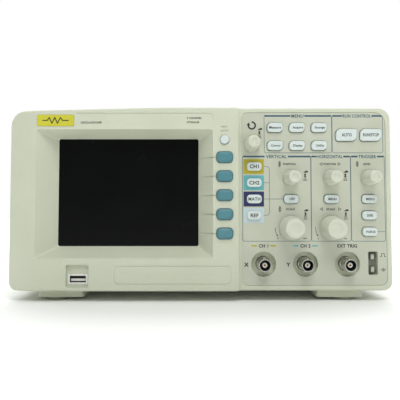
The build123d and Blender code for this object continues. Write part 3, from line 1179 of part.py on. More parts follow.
    # vents through both sides and the bottom
    for side in (-1, 1):
        vent_plane = Plane(
            origin=(side * (INNER_RIGHT - 1.0), VENT_MID_Y, VENT_Z), x_dir=(0, 1, 0), z_dir=(side, 0, 0)
        )
        with BuildSketch(vent_plane):
            with GridLocations(VENT_PITCH, 0, VENT_COUNT, 1):
                SlotOverall(VENT_HEIGHT, VENT_SLOT, rotation=90)
        extrude(amount=WALL + 2.0, mode=Mode.SUBTRACT)
        with BuildSketch(level(BODY_BOTTOM - 1.0, side * LOW_VENT_X, VENT_MID_Y)):
            with GridLocations(VENT_PITCH, 0, VENT_COUNT, 1):
                SlotOverall(LOW_VENT_LENGTH, VENT_SLOT, rotation=90)
        extrude(amount=WALL + 2.0, mode=Mode.SUBTRACT)
    # posts behind the chassis tabs, with the screws' counterbores
    for x, z in COVER_SCREWS:
        with BuildSketch(rearward(REAR_INNER_Y - POST_LENGTH, x, z)):
            Circle(BOSS_D / 2 + 1.0)
        extrude(amount=POST_LENGTH + WALL / 2)
        with BuildSketch(rearward(REAR_INNER_Y - POST_LENGTH, x, z)):
            Circle(SCREW_HOLE_D / 2)
        extrude(amount=POST_LENGTH + WALL, mode=Mode.SUBTRACT)
        with BuildSketch(rearward(REAR_WALL_Y + 1.0, x, z)):
            Circle(SCREW_HEAD_D / 2 + LOOSE_GAP)
        extrude(amount=-SCREW_HEAD_THICK - 2.0, mode=Mode.SUBTRACT)
    # posts that carry the supply board
    supply_posts = [
        (across, along)
        for across in (SUPPLY_LEFT + SUPPLY_SCREW_INSET, SUPPLY_RIGHT - SUPPLY_SCREW_INSET)
        for along in (SUPPLY_FRONT + SUPPLY_SCREW_INSET, SUPPLY_BACK - SUPPLY_SCREW_INSET)
    ]
    for across, along in supply_posts:
        with BuildSketch(level(SUPPLY_Z, across, along)):
            Circle(BOSS_D / 2)
        extrude(amount=INNER_BOTTOM - SUPPLY_Z - WALL / 2)
        with BuildSketch(level(SUPPLY_Z, across, along)):
            Circle(PILOT_D / 2)
        extrude(amount=-SUPPLY_PILOT_DEPTH, mode=Mode.SUBTRACT)
    # rear feet, and the lugs of the tilt legs
    for side in (-1, 1):
        with BuildSketch(level(BODY_BOTTOM + WALL / 2, side * PAD_X, REAR_FOOT_Y)):
            Circle(REAR_FOOT_D / 2)
        extrude(amount=-PLINTH_HEIGHT - WALL / 2)
        with BuildSketch(level(BODY_BOTTOM - PLINTH_HEIGHT, side * PAD_X, REAR_FOOT_Y)):
            Circle(REAR_PAD_D / 2 + SEAT_GAP)
        extrude(amount=PAD_SEAT, mode=Mode.SUBTRACT)
        for end in (-1, 1):
            lug_x = side * FOOT_X + end * (LEG_WIDTH / 2 + LOOSE_GAP + LUG_THICK / 2)
            with BuildSketch(Plane(origin=(lug_x, LEG_PIVOT_Y, 0), x_dir=(0, 1, 0), z_dir=(1, 0, 0))):
                with Locations((0, LEG_PIVOT_Z)):
                    Circle(LUG_RADIUS)
                with Locations((0, LEG_PIVOT_Z + (BODY_BOTTOM + WALL / 2 - LEG_PIVOT_Z) / 2)):
                    Rectangle(2 * LUG_RADIUS, BODY_BOTTOM + WALL / 2 - LEG_PIVOT_Z)
                with Locations((0, LEG_PIVOT_Z)):
                    Circle(LEG_PIN_D / 2 + SHAFT_GAP, mode=Mode.SUBTRACT)
            extrude(amount=LUG_THICK / 2, both=True)
save("rear_cover", rear_cover.part)

# ---------------------------------------------------------------- chassis
with BuildPart() as chassis:
    extrude(housing_outline(CHASSIS_Y, WALL + BOARD_INSET + 1.5), amount=-CHASSIS_THICK)
    with BuildSketch(facing(CHASSIS_Y, 0, (BODY_BOTTOM + BODY_TOP) / 2)):
        with GridLocations(CHASSIS_WINDOW_PITCH, 0, 3, 1):
            RectangleRounded(*CHASSIS_WINDOW, CHASSIS_CORNER)
    extrude(amount=-CHASSIS_THICK, mode=Mode.SUBTRACT)
    for side in (-1, 1):
        flange_x = side * (INNER_RIGHT - CHASSIS_FLANGE_INSET)
        flange_low = COVER_SCREWS[0][1] - CHASSIS_TAB / 2
        flange_high = COVER_SCREWS[1][1] + CHASSIS_TAB / 2
        flange_mid = (flange_low + flange_high) / 2
        flange_back_y = REAR_INNER_Y - POST_LENGTH
        with BuildSketch(
            Plane(origin=(flange_x, CHASSIS_Y, flange_mid), x_dir=(0, 1, 0), z_dir=(-side, 0, 0))
        ):
            Rectangle(
                flange_back_y - CHASSIS_Y, flange_high - flange_low, align=(Align.MIN, Align.CENTER)
            )
            with Locations(((flange_back_y - CHASSIS_Y) / 2, 0)):
                RectangleRounded(
                    flange_back_y - CHASSIS_Y - 20.0, flange_high - flange_low - 28.0, 4.0, mode=Mode.SUBTRACT
                )
        extrude(amount=CHASSIS_THICK)
        for x, z in COVER_SCREWS:
            if x * side > 0:
                tab_x = flange_x - side * CHASSIS_TAB / 2
                with BuildSketch(facing(flange_back_y, tab_x, z)):
                    Rectangle(CHASSIS_TAB, CHASSIS_TAB)
                extrude(amount=CHASSIS_THICK)
                with BuildSketch(facing(flange_back_y, x, z)):
                    Circle(PILOT_D / 2)
                extrude(amount=CHASSIS_THICK, mode=Mode.SUBTRACT)
    for x, z in FRAME_SCREWS:
        with BuildSketch(facing(CHASSIS_Y, x, z)):
            Circle(BOSS_D / 2)
        extrude(amount=CHASSIS_Y - MAIN_BOARD_Y - BOARD_THICK)
        with BuildSketch(facing(CHASSIS_Y + CHASSIS_THICK, x, z)):
            Circle(SCREW_HOLE_D / 2)
        extrude(amount=CHASSIS_Y + CHASSIS_THICK - MAIN_BOARD_Y, mode=Mode.SUBTRACT)
    # the shelf that carries the mains switch
    switch_top_z = top_at(POWER_X) - WALL - POWER_STEM_LENGTH - POWER_TRAVEL - 2.0
    shelf_z = switch_top_z - SWITCH_HEIGHT
    shelf_length = POWER_Y + SWITCH_SIDE - CHASSIS_Y
    with BuildSketch(level(shelf_z, POWER_X, CHASSIS_Y)):
        Rectangle(SWITCH_SIDE + 4.0, shelf_length, align=(Align.CENTER, Align.MIN))
    extrude(amount=-CHASSIS_THICK)
save("chassis", chassis.part)


# ---------------------------------------------------------------- boards
def block(plane, width, height, thick, corner=0.0):
    """A rounded block that stands on a plane: a chip, a can or a transformer."""
    with BuildPart() as piece:
        with BuildSketch(plane):
            if corner > 0:
                RectangleRounded(width, height, corner)
            else:
                Rectangle(width, height)
        extrude(amount=thick)
    return piece.part


def can(plane, diameter, length):
    """A round part that stands on a plane: a capacitor or a coil."""
    with BuildPart() as piece:
        with BuildSketch(plane):
            Circle(diameter / 2)
        extrude(amount=length)
        rim = piece.faces().sort_by(lambda face: plane.to_local_coords(face.center()).Z)[-1].edges()
        fillet(rim, diameter * 0.06)
    return piece.part


with BuildPart() as main_board:
    extrude(housing_outline(MAIN_BOARD_Y, WALL + BOARD_INSET), amount=-BOARD_THICK)
    for x, z in FRAME_SCREWS:
        with BuildSketch(facing(MAIN_BOARD_Y, x, z)):
            Circle(SCREW_HOLE_D / 2)
        extrude(amount=-BOARD_THICK, mode=Mode.SUBTRACT)
chip_room = CHASSIS_Y - MAIN_BOARD_Y - BOARD_THICK - 0.6
chips = [
    block(rearward(MAIN_BOARD_Y + BOARD_THICK, across, BODY_BOTTOM + height), side, side, chip_room * 0.6)
    for across, height, side in CHIPS
]
shield_cans = [
    block(facing(MAIN_BOARD_Y, x, BNC_Z + SHIELD_CAN_RISE), *SHIELD_CAN, 1.0) for x in BNC_PLACES[:2]
]
usb_riser_z = USB_Z - USB_INNER_HEIGHT / 2 - USB_METAL - 1.4
usb_riser = block(facing(MAIN_BOARD_Y, USB_X, usb_riser_z), 14.0, 1.2, MAIN_BOARD_Y - USB_FLOOR_Y - 4.5)
io_board = block(rearward(IO_BOARD_Y, BAY_X, BAY_Z), BAY_WIDTH - 4.0, BAY_HEIGHT, BOARD_THICK)
save("main_board", main_board.part, *chips, *shield_cans, usb_riser, io_board)

with BuildPart() as supply_board:
    supply_x = (SUPPLY_LEFT + SUPPLY_RIGHT) / 2
    supply_y = (SUPPLY_FRONT + SUPPLY_BACK) / 2
    with BuildSketch(level(SUPPLY_Z, supply_x, supply_y)):
        Rectangle(SUPPLY_RIGHT - SUPPLY_LEFT, SUPPLY_BACK - SUPPLY_FRONT)
    extrude(amount=BOARD_THICK)
    for across, along in supply_posts:
        with BuildSketch(level(SUPPLY_Z, across, along)):
            Circle(SCREW_HOLE_D / 2)
        extrude(amount=BOARD_THICK, mode=Mode.SUBTRACT)
supply_top = SUPPLY_Z + BOARD_THICK
supply_parts = [
    block(level(supply_top, SUPPLY_LEFT + 50.0, supply_y), 28.0, 24.0, 22.0, 2.0),
    block(level(supply_top, SUPPLY_LEFT + 82.0, supply_y), 3.0, 40.0, 28.0),
    can(level(supply_top, SUPPLY_LEFT + 20.0, supply_y + 10.0), 16.0, 26.0),
    can(level(supply_top, SUPPLY_LEFT + 20.0, supply_y - 10.0), 10.0, 18.0),
    can(level(supply_top, SUPPLY_RIGHT - 30.0, supply_y - 6.0), 18.0, 12.0),
    block(level(shelf_z, POWER_X, POWER_Y), SWITCH_SIDE, SWITCH_SIDE, SWITCH_HEIGHT, 0.5),
]
save("power_supply_board", supply_board.part, *supply_parts)

# ---------------------------------------------------------------- fan
with BuildPart() as fan_frame:
    with BuildSketch(rearward(FAN_FRONT_Y, FAN_X, FAN_Z)):
        RectangleRounded(FAN_SIDE, FAN_SIDE, FAN_CORNER)
        Circle(FAN_BORE / 2, mode=Mode.SUBTRACT)
        with GridLocations(FAN_HOLE_PITCH, FAN_HOLE_PITCH, 2, 2):
            Circle(2.1, mode=Mode.SUBTRACT)
    extrude(amount=FAN_THICK)
    with BuildSketch(rearward(FAN_BACK_Y, FAN_X, FAN_Z)):
        Circle(FAN_HUB_D / 2)
        with PolarLocations(0, 4, start_angle=45):
            Rectangle(FAN_BORE / 2 + 1.0, 3.0, align=(Align.MIN, Align.CENTER))
    extrude(amount=-FAN_SPIDER_THICK)
    with BuildSketch(rearward(FAN_BACK_Y - FAN_SPIDER_THICK, FAN_X, FAN_Z)):
        Circle(FAN_SPINDLE_D / 2)
    extrude(amount=-FAN_THICK + FAN_SPINDLE_SHORT)
save("fan_frame", fan_frame.part)

with BuildPart() as fan_rotor:
    rotor_back_y = FAN_BACK_Y - FAN_SPIDER_THICK - FAN_HUB_GAP
    with BuildSketch(facing(rotor_back_y, FAN_X, FAN_Z)):
        Circle(FAN_HUB_D / 2)
    extrude(amount=ROTOR_LENGTH)
    fillet(fan_rotor.faces().sort_by(Axis.Y)[0].edges(), 1.5)
    for count in range(FAN_BLADES):
        angle = math.radians(360.0 / FAN_BLADES * count)
        blade_plane = Plane(
            origin=(FAN_X, rotor_back_y - ROTOR_LENGTH / 2, FAN_Z),
            x_dir=(0, -1, 0),
            z_dir=(math.cos(angle), 0, math.sin(angle)),
        )
        with BuildSketch(blade_plane.offset(FAN_HUB_D / 2 - 1.0)):
            Rectangle(ROTOR_LENGTH * 0.95, BLADE_THICK, rotation=BLADE_PITCH_ANGLE)
        extrude(amount=(FAN_BORE - FAN_HUB_D) / 2 + 1.0 - BLADE_TIP_GAP)
    with BuildSketch(facing(rotor_back_y, FAN_X, FAN_Z)):
        Circle(FAN_SPINDLE_D / 2 + SHAFT_GAP)
    extrude(amount=FAN_THICK - FAN_SPINDLE_SHORT, mode=Mode.SUBTRACT)
save("fan_rotor", fan_rotor.part)

# ---------------------------------------------------------------- handle
with BuildPart() as carry_handle:
    grip_front_y = HANDLE_PIVOT_Y - HANDLE_REACH - HANDLE_GRIP / 2
    arm_end_y = HANDLE_PIVOT_Y + HANDLE_THICK / 2
    with BuildSketch(level(HEIGHT - HANDLE_THICK, 0, grip_front_y)) as bail:
        Rectangle(HANDLE_WIDTH, arm_end_y - grip_front_y, align=(Align.CENTER, Align.MIN))
        fillet(bail.vertices().group_by(Axis.Y)[0], HANDLE_BEND)
        with Locations((0, HANDLE_GRIP)):
            RectangleRounded(
                HANDLE_WIDTH - 2 * HANDLE_ARM,
                2 * HANDLE_REACH,
                HANDLE_BEND - HANDLE_ARM / 2,
                align=(Align.CENTER, Align.MIN),
                mode=Mode.SUBTRACT,
            )
    extrude(amount=HANDLE_THICK)
    with BuildSketch(Plane(origin=(0, grip_front_y, HANDLE_Z), x_dir=(0, 1, 0), z_dir=(1, 0, 0))):
        with Locations(((arm_end_y - grip_front_y) / 2, 0)):
            SlotOverall(arm_end_y - grip_front_y, HANDLE_THICK)
    extrude(amount=HANDLE_WIDTH / 2, both=True, mode=Mode.INTERSECT)
    for side in (-1, 1):
        with BuildSketch(
            Plane(
                origin=(side * (HANDLE_WIDTH / 2 - 1.0), HANDLE_PIVOT_Y, HANDLE_Z),
                x_dir=(0, 1, 0),
                z_dir=(side, 0, 0),
            )
        ):
            Circle(HANDLE_PIN_D / 2)
        extrude(amount=TUB_GAP + WALL - 0.2)
save("carry_handle", carry_handle.part)

# ---------------------------------------------------------------- power button
with BuildPart() as power_button:
    button_top = top_at(POWER_X) + POWER_PROUD
    button_base = top_at(POWER_X) - WALL - 1.0
    with BuildSketch(level(button_base, POWER_X, POWER_Y)):
        RectangleRounded(POWER_WIDTH, POWER_HEIGHT, POWER_HEIGHT / 2 - 0.1)
    extrude(amount=button_top - button_base)
    fillet(power_button.faces().sort_by(Axis.Z)[-1].edges(), 1.0)
    with BuildSketch(level(button_base, POWER_X, POWER_Y)):
        RectangleRounded(POWER_WIDTH + 2.4, POWER_HEIGHT + 2.4, POWER_HEIGHT / 2)
    extrude(amount=-1.2)
    with BuildSketch(level(button_base, POWER_X, POWER_Y)):
        Circle(POWER_STEM_D / 2)
    extrude(amount=switch_top_z + POWER_TRAVEL + 0.3 - button_base)
save("power_button", power_button.part)

# ---------------------------------------------------------------- power inlet and serial port
with BuildPart() as inlet_body:
    with BuildSketch(rearward(REAR_WALL_Y, INLET_X, INLET_Z)):
        Rectangle(INLET_WIDTH, INLET_HEIGHT)
    extrude(amount=-INLET_DEPTH)
    with BuildSketch(rearward(REAR_WALL_Y, INLET_X, INLET_Z)):
        RectangleRounded(INLET_WIDTH + 2 * INLET_FLANGE, INLET_HEIGHT + 2 * INLET_FLANGE, 2.0)
    extrude(amount=INLET_FLANGE_THICK)
    with BuildSketch(rearward(REAR_WALL_Y + INLET_FLANGE_THICK, INLET_X, INLET_Z)) as inlet_cavity:
        Rectangle(INLET_CAVITY_WIDTH, INLET_CAVITY_HEIGHT)
        chamfer(inlet_cavity.vertices().group_by(Axis.Y)[-1], INLET_CHAMFER)
    extrude(amount=-INLET_CAVITY_DEPTH, mode=Mode.SUBTRACT)
inlet_floor_y = REAR_WALL_Y + INLET_FLANGE_THICK - INLET_CAVITY_DEPTH
inlet_pins = [
    block(rearward(inlet_floor_y, INLET_X + across, INLET_Z + up), *INLET_PIN, INLET_PIN_LENGTH)
    for across, up in ((-INLET_PIN_X, INLET_PIN_Z), (INLET_PIN_X, INLET_PIN_Z), (0.0, INLET_EARTH_Z))
]
save("power_inlet", inlet_body.part, *inlet_pins)

with BuildPart() as serial_shell:
    with BuildSketch(rearward(BAY_FLOOR_Y, SERIAL_X, BAY_Z)):
        RectangleRounded(*SERIAL_FLANGE, 1.0)
    extrude(amount=0.8)
    with BuildSketch(rearward(BAY_FLOOR_Y - SERIAL_BACK, SERIAL_X, BAY_Z)) as serial_outline:
        Rectangle(*SERIAL_SHELL)
        chamfer(serial_outline.vertices().group_by(Axis.Y)[0], 1.6)
    extrude(amount=SERIAL_BACK + SERIAL_REACH)
    with BuildSketch(rearward(BAY_FLOOR_Y + SERIAL_REACH, SERIAL_X, BAY_Z)) as serial_mouth:
        Rectangle(SERIAL_SHELL[0] - 0.8, SERIAL_SHELL[1] - 0.8)
        chamfer(serial_mouth.vertices().group_by(Axis.Y)[0], 1.4)
    extrude(amount=-SERIAL_REACH - 0.8, mode=Mode.SUBTRACT)
serial_pins = [
    can(rearward(BAY_FLOOR_Y - 0.8, SERIAL_X + across, BAY_Z + up), 1.0, 5.4)
    for count, up in ((5, 1.42), (4, -1.42))
    for across in [2.77 * (place - (count - 1) / 2) for place in range(count)]
]
serial_posts = [
    can(rearward(BAY_FLOOR_Y + 0.8, SERIAL_X + side * SERIAL_SCREW_PITCH / 2, BAY_Z), 5.0, 4.6)
    for side in (-1, 1)
]
save("rs232_port", serial_shell.part, *serial_pins, *serial_posts)


# ---------------------------------------------------------------- tilt legs and feet
def make_tilt_leg(label, x):
    """A flat leg that lies under the housing, with stub pins in the cover's lugs."""
    with BuildPart() as leg:
        with BuildSketch(Plane(origin=(x, LEG_PIVOT_Y, LEG_PIVOT_Z), x_dir=(0, 1, 0), z_dir=(1, 0, 0))):
            Circle(LEG_THICK / 2 + 0.6)
            Rectangle(LEG_LENGTH, LEG_THICK, align=(Align.MIN, Align.CENTER))
        extrude(amount=LEG_WIDTH / 2, both=True)
        tip = leg.edges().filter_by(Axis.Z).group_by(Axis.Y)[-1]
        fillet(tip, 5.0)
        with BuildSketch(level(LEG_PIVOT_Z - LEG_THICK, x, LEG_PIVOT_Y + LEG_LENGTH / 2)):
            RectangleRounded(LEG_WIDTH - 16.0, LEG_LENGTH - 16.0, 3.0)
        extrude(amount=2 * LEG_THICK, mode=Mode.SUBTRACT)
        with BuildSketch(Plane(origin=(x, LEG_PIVOT_Y, LEG_PIVOT_Z), x_dir=(0, 1, 0), z_dir=(1, 0, 0))):
            Circle(LEG_PIN_D / 2)
        extrude(amount=LEG_WIDTH / 2 + LOOSE_GAP + LUG_THICK, both=True)
    save(label, leg.part)


make_tilt_leg("tilt_leg_left", -FOOT_X)
make_tilt_leg("tilt_leg_right", FOOT_X)


def make_pad(x, y, diameter):
    """A rubber pad, glued in its seat."""
    with BuildPart() as pad:
        with BuildSketch(level(0, x, y)):
            Circle(diameter / 2)
        extrude(amount=FOOT_HEIGHT - PLINTH_HEIGHT + PAD_SEAT)
        fillet(pad.faces().sort_by(Axis.Z)[0].edges(), PAD_ROUND)
    return pad.part


save(
    "rubber_feet",
    *[make_pad(side * PAD_X, PLINTH_Y, PAD_D) for side in (-1, 1)],
    *[make_pad(side * PAD_X, REAR_FOOT_Y, REAR_PAD_D) for side in (-1, 1)],
)


# ---------------------------------------------------------------- screws
def make_screw(plane, length):
    """A pan-head screw: the plane is under its head and faces away from the shank."""
    with BuildPart() as screw:
        with BuildSketch(plane):
            Circle(SCREW_HEAD_D / 2)
        extrude(amount=SCREW_HEAD_THICK)
        fillet(screw.faces().sort_by(lambda face: plane.to_local_coords(face.center()).Z)[-1].edges(), 0.8)
        with BuildSketch(plane.offset(SCREW_HEAD_THICK)):
            Rectangle(3.2, 0.7)
            Rectangle(0.7, 3.2)
        extrude(amount=-1.1, mode=Mode.SUBTRACT)
        with BuildSketch(plane):
            Circle(SCREW_D / 2)
        extrude(amount=-length)
    return screw.part


frame_screw_length = CHASSIS_Y + CHASSIS_THICK - MAIN_BOARD_Y + FRAME_SCREW_GRIP
cover_seat_y = REAR_WALL_Y - COVER_SCREW_SINK
screw_solids = []
for x, z in KEYPAD_BOSSES:
    screw_solids.append(make_screw(rearward(KEYPAD_BOARD_Y + KEYPAD_BOARD_THICK, x, z), SHORT_SCREW_LENGTH))
for x, z in LCD_BOSSES:
    screw_solids.append(make_screw(rearward(LCD_FRONT_Y + CHASSIS_THICK, x, z), SHORT_SCREW_LENGTH))
for x, z in FRAME_SCREWS:
    screw_solids.append(make_screw(rearward(CHASSIS_Y + CHASSIS_THICK, x, z), frame_screw_length))
for x, z in COVER_SCREWS:
    screw_solids.append(make_screw(rearward(cover_seat_y, x, z), SHORT_SCREW_LENGTH))
for across, along in supply_posts:
    screw_solids.append(make_screw(level(supply_top, across, along), SUPPLY_SCREW_LENGTH))
save("screws", *screw_solids)
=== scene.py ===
# %% [markdown]
# # A two-channel bench oscilloscope, dressed for the studio
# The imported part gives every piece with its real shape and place. This lesson gives each one the
# surface that it has on a bench, models the small metal and printed pieces that are finer than the
# part's own solids, and sets up the light. Everything is in metres, in the part's own frame.

import math

import bmesh
import bpy
from mathutils import Matrix, Vector


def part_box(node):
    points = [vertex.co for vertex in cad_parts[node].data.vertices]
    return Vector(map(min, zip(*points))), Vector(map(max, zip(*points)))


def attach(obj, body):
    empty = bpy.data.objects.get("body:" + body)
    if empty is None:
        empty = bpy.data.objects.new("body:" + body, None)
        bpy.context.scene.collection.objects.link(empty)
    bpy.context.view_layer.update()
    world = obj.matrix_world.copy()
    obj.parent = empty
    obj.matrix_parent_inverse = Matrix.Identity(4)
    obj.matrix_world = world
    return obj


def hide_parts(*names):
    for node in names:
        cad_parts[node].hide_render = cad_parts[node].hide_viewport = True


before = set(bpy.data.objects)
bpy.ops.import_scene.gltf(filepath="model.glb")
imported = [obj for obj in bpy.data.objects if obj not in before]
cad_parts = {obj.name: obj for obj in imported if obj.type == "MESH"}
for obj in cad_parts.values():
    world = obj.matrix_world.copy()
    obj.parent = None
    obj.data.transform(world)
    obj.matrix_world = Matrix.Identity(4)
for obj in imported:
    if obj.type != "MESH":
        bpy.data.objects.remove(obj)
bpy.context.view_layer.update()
MM = 0.001

# %% [markdown]
# ## Colour and nodes
# Paint and plastic colours are written as they read on a screen, so one function turns them into
# the linear numbers that light is worked out with. A second function adds any node with its
# settings and joins it up, which keeps each finish short enough to read.


# %% Two helpers for materials
def colour(code):
    """A screen colour such as #c9cdb8 as linear red, green, blue and alpha."""
    parts = [int(code[i : i + 2], 16) / 255 for i in (1, 3, 5)]
    return [p / 12.92 if p <= 0.04045 else ((p + 0.055) / 1.055) ** 2.4 for p in parts] + [1.0]


def add(tree, kind, inputs=None, **settings):
    """A node of that kind. Each input is set to a value, or joined if it is given a socket."""
    made = tree.nodes.new(kind)
    for name, value in settings.items():
        setattr(made, name, value)
    for key, value in (inputs or {}).items():
        if isinstance(value, bpy.types.NodeSocket):
            tree.links.new(value, made.inputs[key])
        else:
            made.inputs[key].default_value = value
    return made


def material(name):
    """An empty material: its node tree and the shader that everything ends in."""
    made = bpy.data.materials.new(name)
    made.use_nodes = True
    tree = made.node_tree
    tree.nodes.clear()
    shader = add(tree, "ShaderNodeBsdfPrincipled")
    add(tree, "ShaderNodeOutputMaterial", {"Surface": shader.outputs["BSDF"]})
    return made, tree, shader


# %% [markdown]
# ## Moulded plastic
# The housing, knobs and keys are injection-moulded ABS. The mould is spark-eroded, so the skin has
# a fine pebble grain, the flow of the melt leaves slow, faint changes of tone, and hands polish the
# edges until they are a little lighter and smoother than the flats. Corners, creases and recesses
# are darkened as painted shade. A Bevel node finds the edges and an Ambient Occlusion node finds the
# corners, so the wear and the painted shade follow the moulding, whatever its shape.


# %% The moulded finish
def moulded(name, base, shade, edge, grain, depth, rough, spec=0.5, wear=1.4, corner_shade=0.35):
    """Moulded plastic. Grain is the pebble's width and depth its height, both in millimetres."""
    made, tree, shader = material(name)
    where = add(tree, "ShaderNodeTexCoord").outputs["Object"]
    flow = add(tree, "ShaderNodeTexNoise", {"Vector": where, "Scale": 1 / (38 * MM), "Detail": 3.0})
    pebble = add(
        tree,
        "ShaderNodeTexNoise",
        {"Vector": where, "Scale": 1 / (grain * MM), "Detail": 2.0, "Roughness": 0.6},
    )
    toned = add(
        tree,
        "ShaderNodeMix",
        {"Factor": flow.outputs["Fac"], "A": colour(shade), "B": colour(base)},
        data_type="RGBA",
    )
    speck = add(
        tree,
        "ShaderNodeMapRange",
        {"Value": pebble.outputs["Fac"], "From Min": 0.3, "From Max": 0.7, "To Min": 0.97, "To Max": 1.02},
    )
    grained = add(
        tree,
        "ShaderNodeMix",
        {"Factor": 1.0, "A": toned.outputs["Result"], "B": speck.outputs["Result"]},
        data_type="RGBA",
        blend_type="MULTIPLY",
    )
    round_normal = add(tree, "ShaderNodeBevel", {"Radius": 0.5 * MM}, samples=4)
    flat_normal = add(tree, "ShaderNodeNewGeometry")
    facing = add(
        tree,
        "ShaderNodeVectorMath",
        {0: round_normal.outputs["Normal"], 1: flat_normal.outputs["Normal"]},
        operation="DOT_PRODUCT",
    )
    rubbed = add(
        tree,
        "ShaderNodeMapRange",
        {"Value": facing.outputs["Value"], "From Min": 0.99, "From Max": 0.80, "To Max": wear * 0.4},
    )
    worn = add(
        tree,
        "ShaderNodeMix",
        {"Factor": rubbed.outputs["Result"], "A": grained.outputs["Result"], "B": colour(edge)},
        data_type="RGBA",
    )
    # painted shade: an Ambient Occlusion node finds corners, creases and recesses, and the colour there is
    # multiplied towards the shade colour
    corner = add(tree, "ShaderNodeAmbientOcclusion", {"Distance": 5 * MM}, samples=4)
    corner_shade_mask = add(
        tree,
        "ShaderNodeMapRange",
        {"Value": corner.outputs["AO"], "From Min": 0.25, "From Max": 0.8, "To Min": corner_shade, "To Max": 0.0},
    )
    corner_shaded = add(
        tree,
        "ShaderNodeMix",
        {"Factor": corner_shade_mask.outputs["Result"], "A": worn.outputs["Result"], "B": colour(shade)},
        data_type="RGBA",
        blend_type="MULTIPLY",
    )
    gloss = add(
        tree,
        "ShaderNodeMapRange",
        {
            "Value": flow.outputs["Fac"],
            "From Min": 0.3,
            "From Max": 0.7,
            "To Min": rough - 0.05,
            "To Max": rough + 0.06,
        },
    )
    polish = add(
        tree,
        "ShaderNodeMath",
        {0: rubbed.outputs["Result"], 1: -0.18, 2: gloss.outputs["Result"]},
        operation="MULTIPLY_ADD",
    )
    skin = add(
        tree,
        "ShaderNodeBump",
        {"Height": pebble.outputs["Fac"], "Strength": 0.5, "Distance": depth * MM},
    )
    tree.links.new(corner_shaded.outputs["Result"], shader.inputs["Base Color"])
    tree.links.new(polish.outputs["Value"], shader.inputs["Roughness"])
    tree.links.new(skin.outputs["Normal"], shader.inputs["Normal"])
    shader.inputs["Specular IOR Level"].default_value = spec
    shader.inputs["IOR"].default_value = 1.54
    return made


# %% The plastics of this instrument
# ABS, spark-eroded mould: a warm grey-green body with a soft, even sheen
housing_abs = moulded("abs_spark_eroded_body", "#d2d7c3", "#c7ccb6", "#e1e5d6", 0.9, 0.035, 0.5, corner_shade=0.08)
# the same ABS in a finer mould, so the knobs look a little lighter and smoother
knob_abs = moulded("abs_fine_grain_knob", "#d4d8c8", "#cacebb", "#e6e9dc", 0.6, 0.018, 0.42)
# white ABS keys: colder than the body, with edges polished by fingertips
key_white = moulded("abs_satin_white_key", "#dbe5e1", "#cfdbd8", "#edf3f0", 0.5, 0.012, 0.36)
# teal ABS keys: dyed through, so a rubbed edge turns paler, not white
# strong painted shade in the corners and in the gap round each key, which draws its dark outline
key_teal = moulded("abs_satin_teal_key", "#558e97", "#487d87", "#5b949c", 0.5, 0.012, 0.36, corner_shade=0.6)
# glass-filled nylon: near-black, dry-looking, with a coarse grain
black_nylon = moulded("nylon_glass_filled_black", "#26282a", "#1d1f21", "#45484a", 0.8, 0.03, 0.55)
# nylon of the encoder bodies
encoder_nylon = moulded("nylon_encoder_grey", "#55595c", "#44484b", "#7b8084", 0.6, 0.02, 0.5)
# silicone rubber of the keypad mat: translucent-looking grey, no sharp highlights
silicone = moulded("silicone_moulded_mat", "#b9bdbb", "#a9aeac", "#c8ccca", 0.7, 0.02, 0.6)
# rubber feet: filled grey to match the body, matt, and scuffed where they meet the desk
foot_rubber = moulded("rubber_moulded_foot", "#a9ae9e", "#9aa090", "#b9beae", 0.7, 0.05, 0.78, spec=0.3)
print("moulded finishes:", 8)

# %% [markdown]
# ## Printed sheet, paint and ink
# The control panel is a polycarbonate sheet, printed from behind and laid into the bezel. Its
# texture is finer and flatter than the moulding's. The inks on top are screen-printed: dense, a
# little uneven where the mesh lifted, and only some hundredths of a millimetre thick.


# %% The printed finishes
def printed(name, base, uneven, grain, rough, depth=0.006, spec=0.5):
    """A printed or painted film. Grain is the mesh or stipple width in millimetres."""
    made, tree, shader = material(name)
    where = add(tree, "ShaderNodeTexCoord").outputs["Object"]
    mesh_mark = add(tree, "ShaderNodeTexNoise", {"Vector": where, "Scale": 1 / (grain * MM), "Detail": 1.5})
    cloud = add(tree, "ShaderNodeTexNoise", {"Vector": where, "Scale": 1 / (24 * MM), "Detail": 3.0})
    blend = add(
        tree,
        "ShaderNodeMath",
        {0: mesh_mark.outputs["Fac"], 1: 0.4, 2: cloud.outputs["Fac"]},
        operation="MULTIPLY_ADD",
    )
    share = add(
        tree,
        "ShaderNodeMapRange",
        {"Value": blend.outputs["Value"], "From Min": 0.45, "From Max": 0.95},
    )
    tone = add(
        tree,
        "ShaderNodeMix",
        {"Factor": share.outputs["Result"], "A": colour(uneven), "B": colour(base)},
        data_type="RGBA",
    )
    sheen = add(
        tree,
        "ShaderNodeMapRange",
        {
            "Value": cloud.outputs["Fac"],
            "From Min": 0.3,
            "From Max": 0.7,
            "To Min": rough - 0.04,
            "To Max": rough + 0.05,
        },
    )
    stipple = add(
        tree,
        "ShaderNodeBump",
        {"Height": mesh_mark.outputs["Fac"], "Strength": 0.4, "Distance": depth * MM},
    )
    tree.links.new(tone.outputs["Result"], shader.inputs["Base Color"])
    tree.links.new(sheen.outputs["Result"], shader.inputs["Roughness"])
    tree.links.new(stipple.outputs["Normal"], shader.inputs["Normal"])
    shader.inputs["Specular IOR Level"].default_value = spec
    shader.inputs["IOR"].default_value = 1.58
    return made


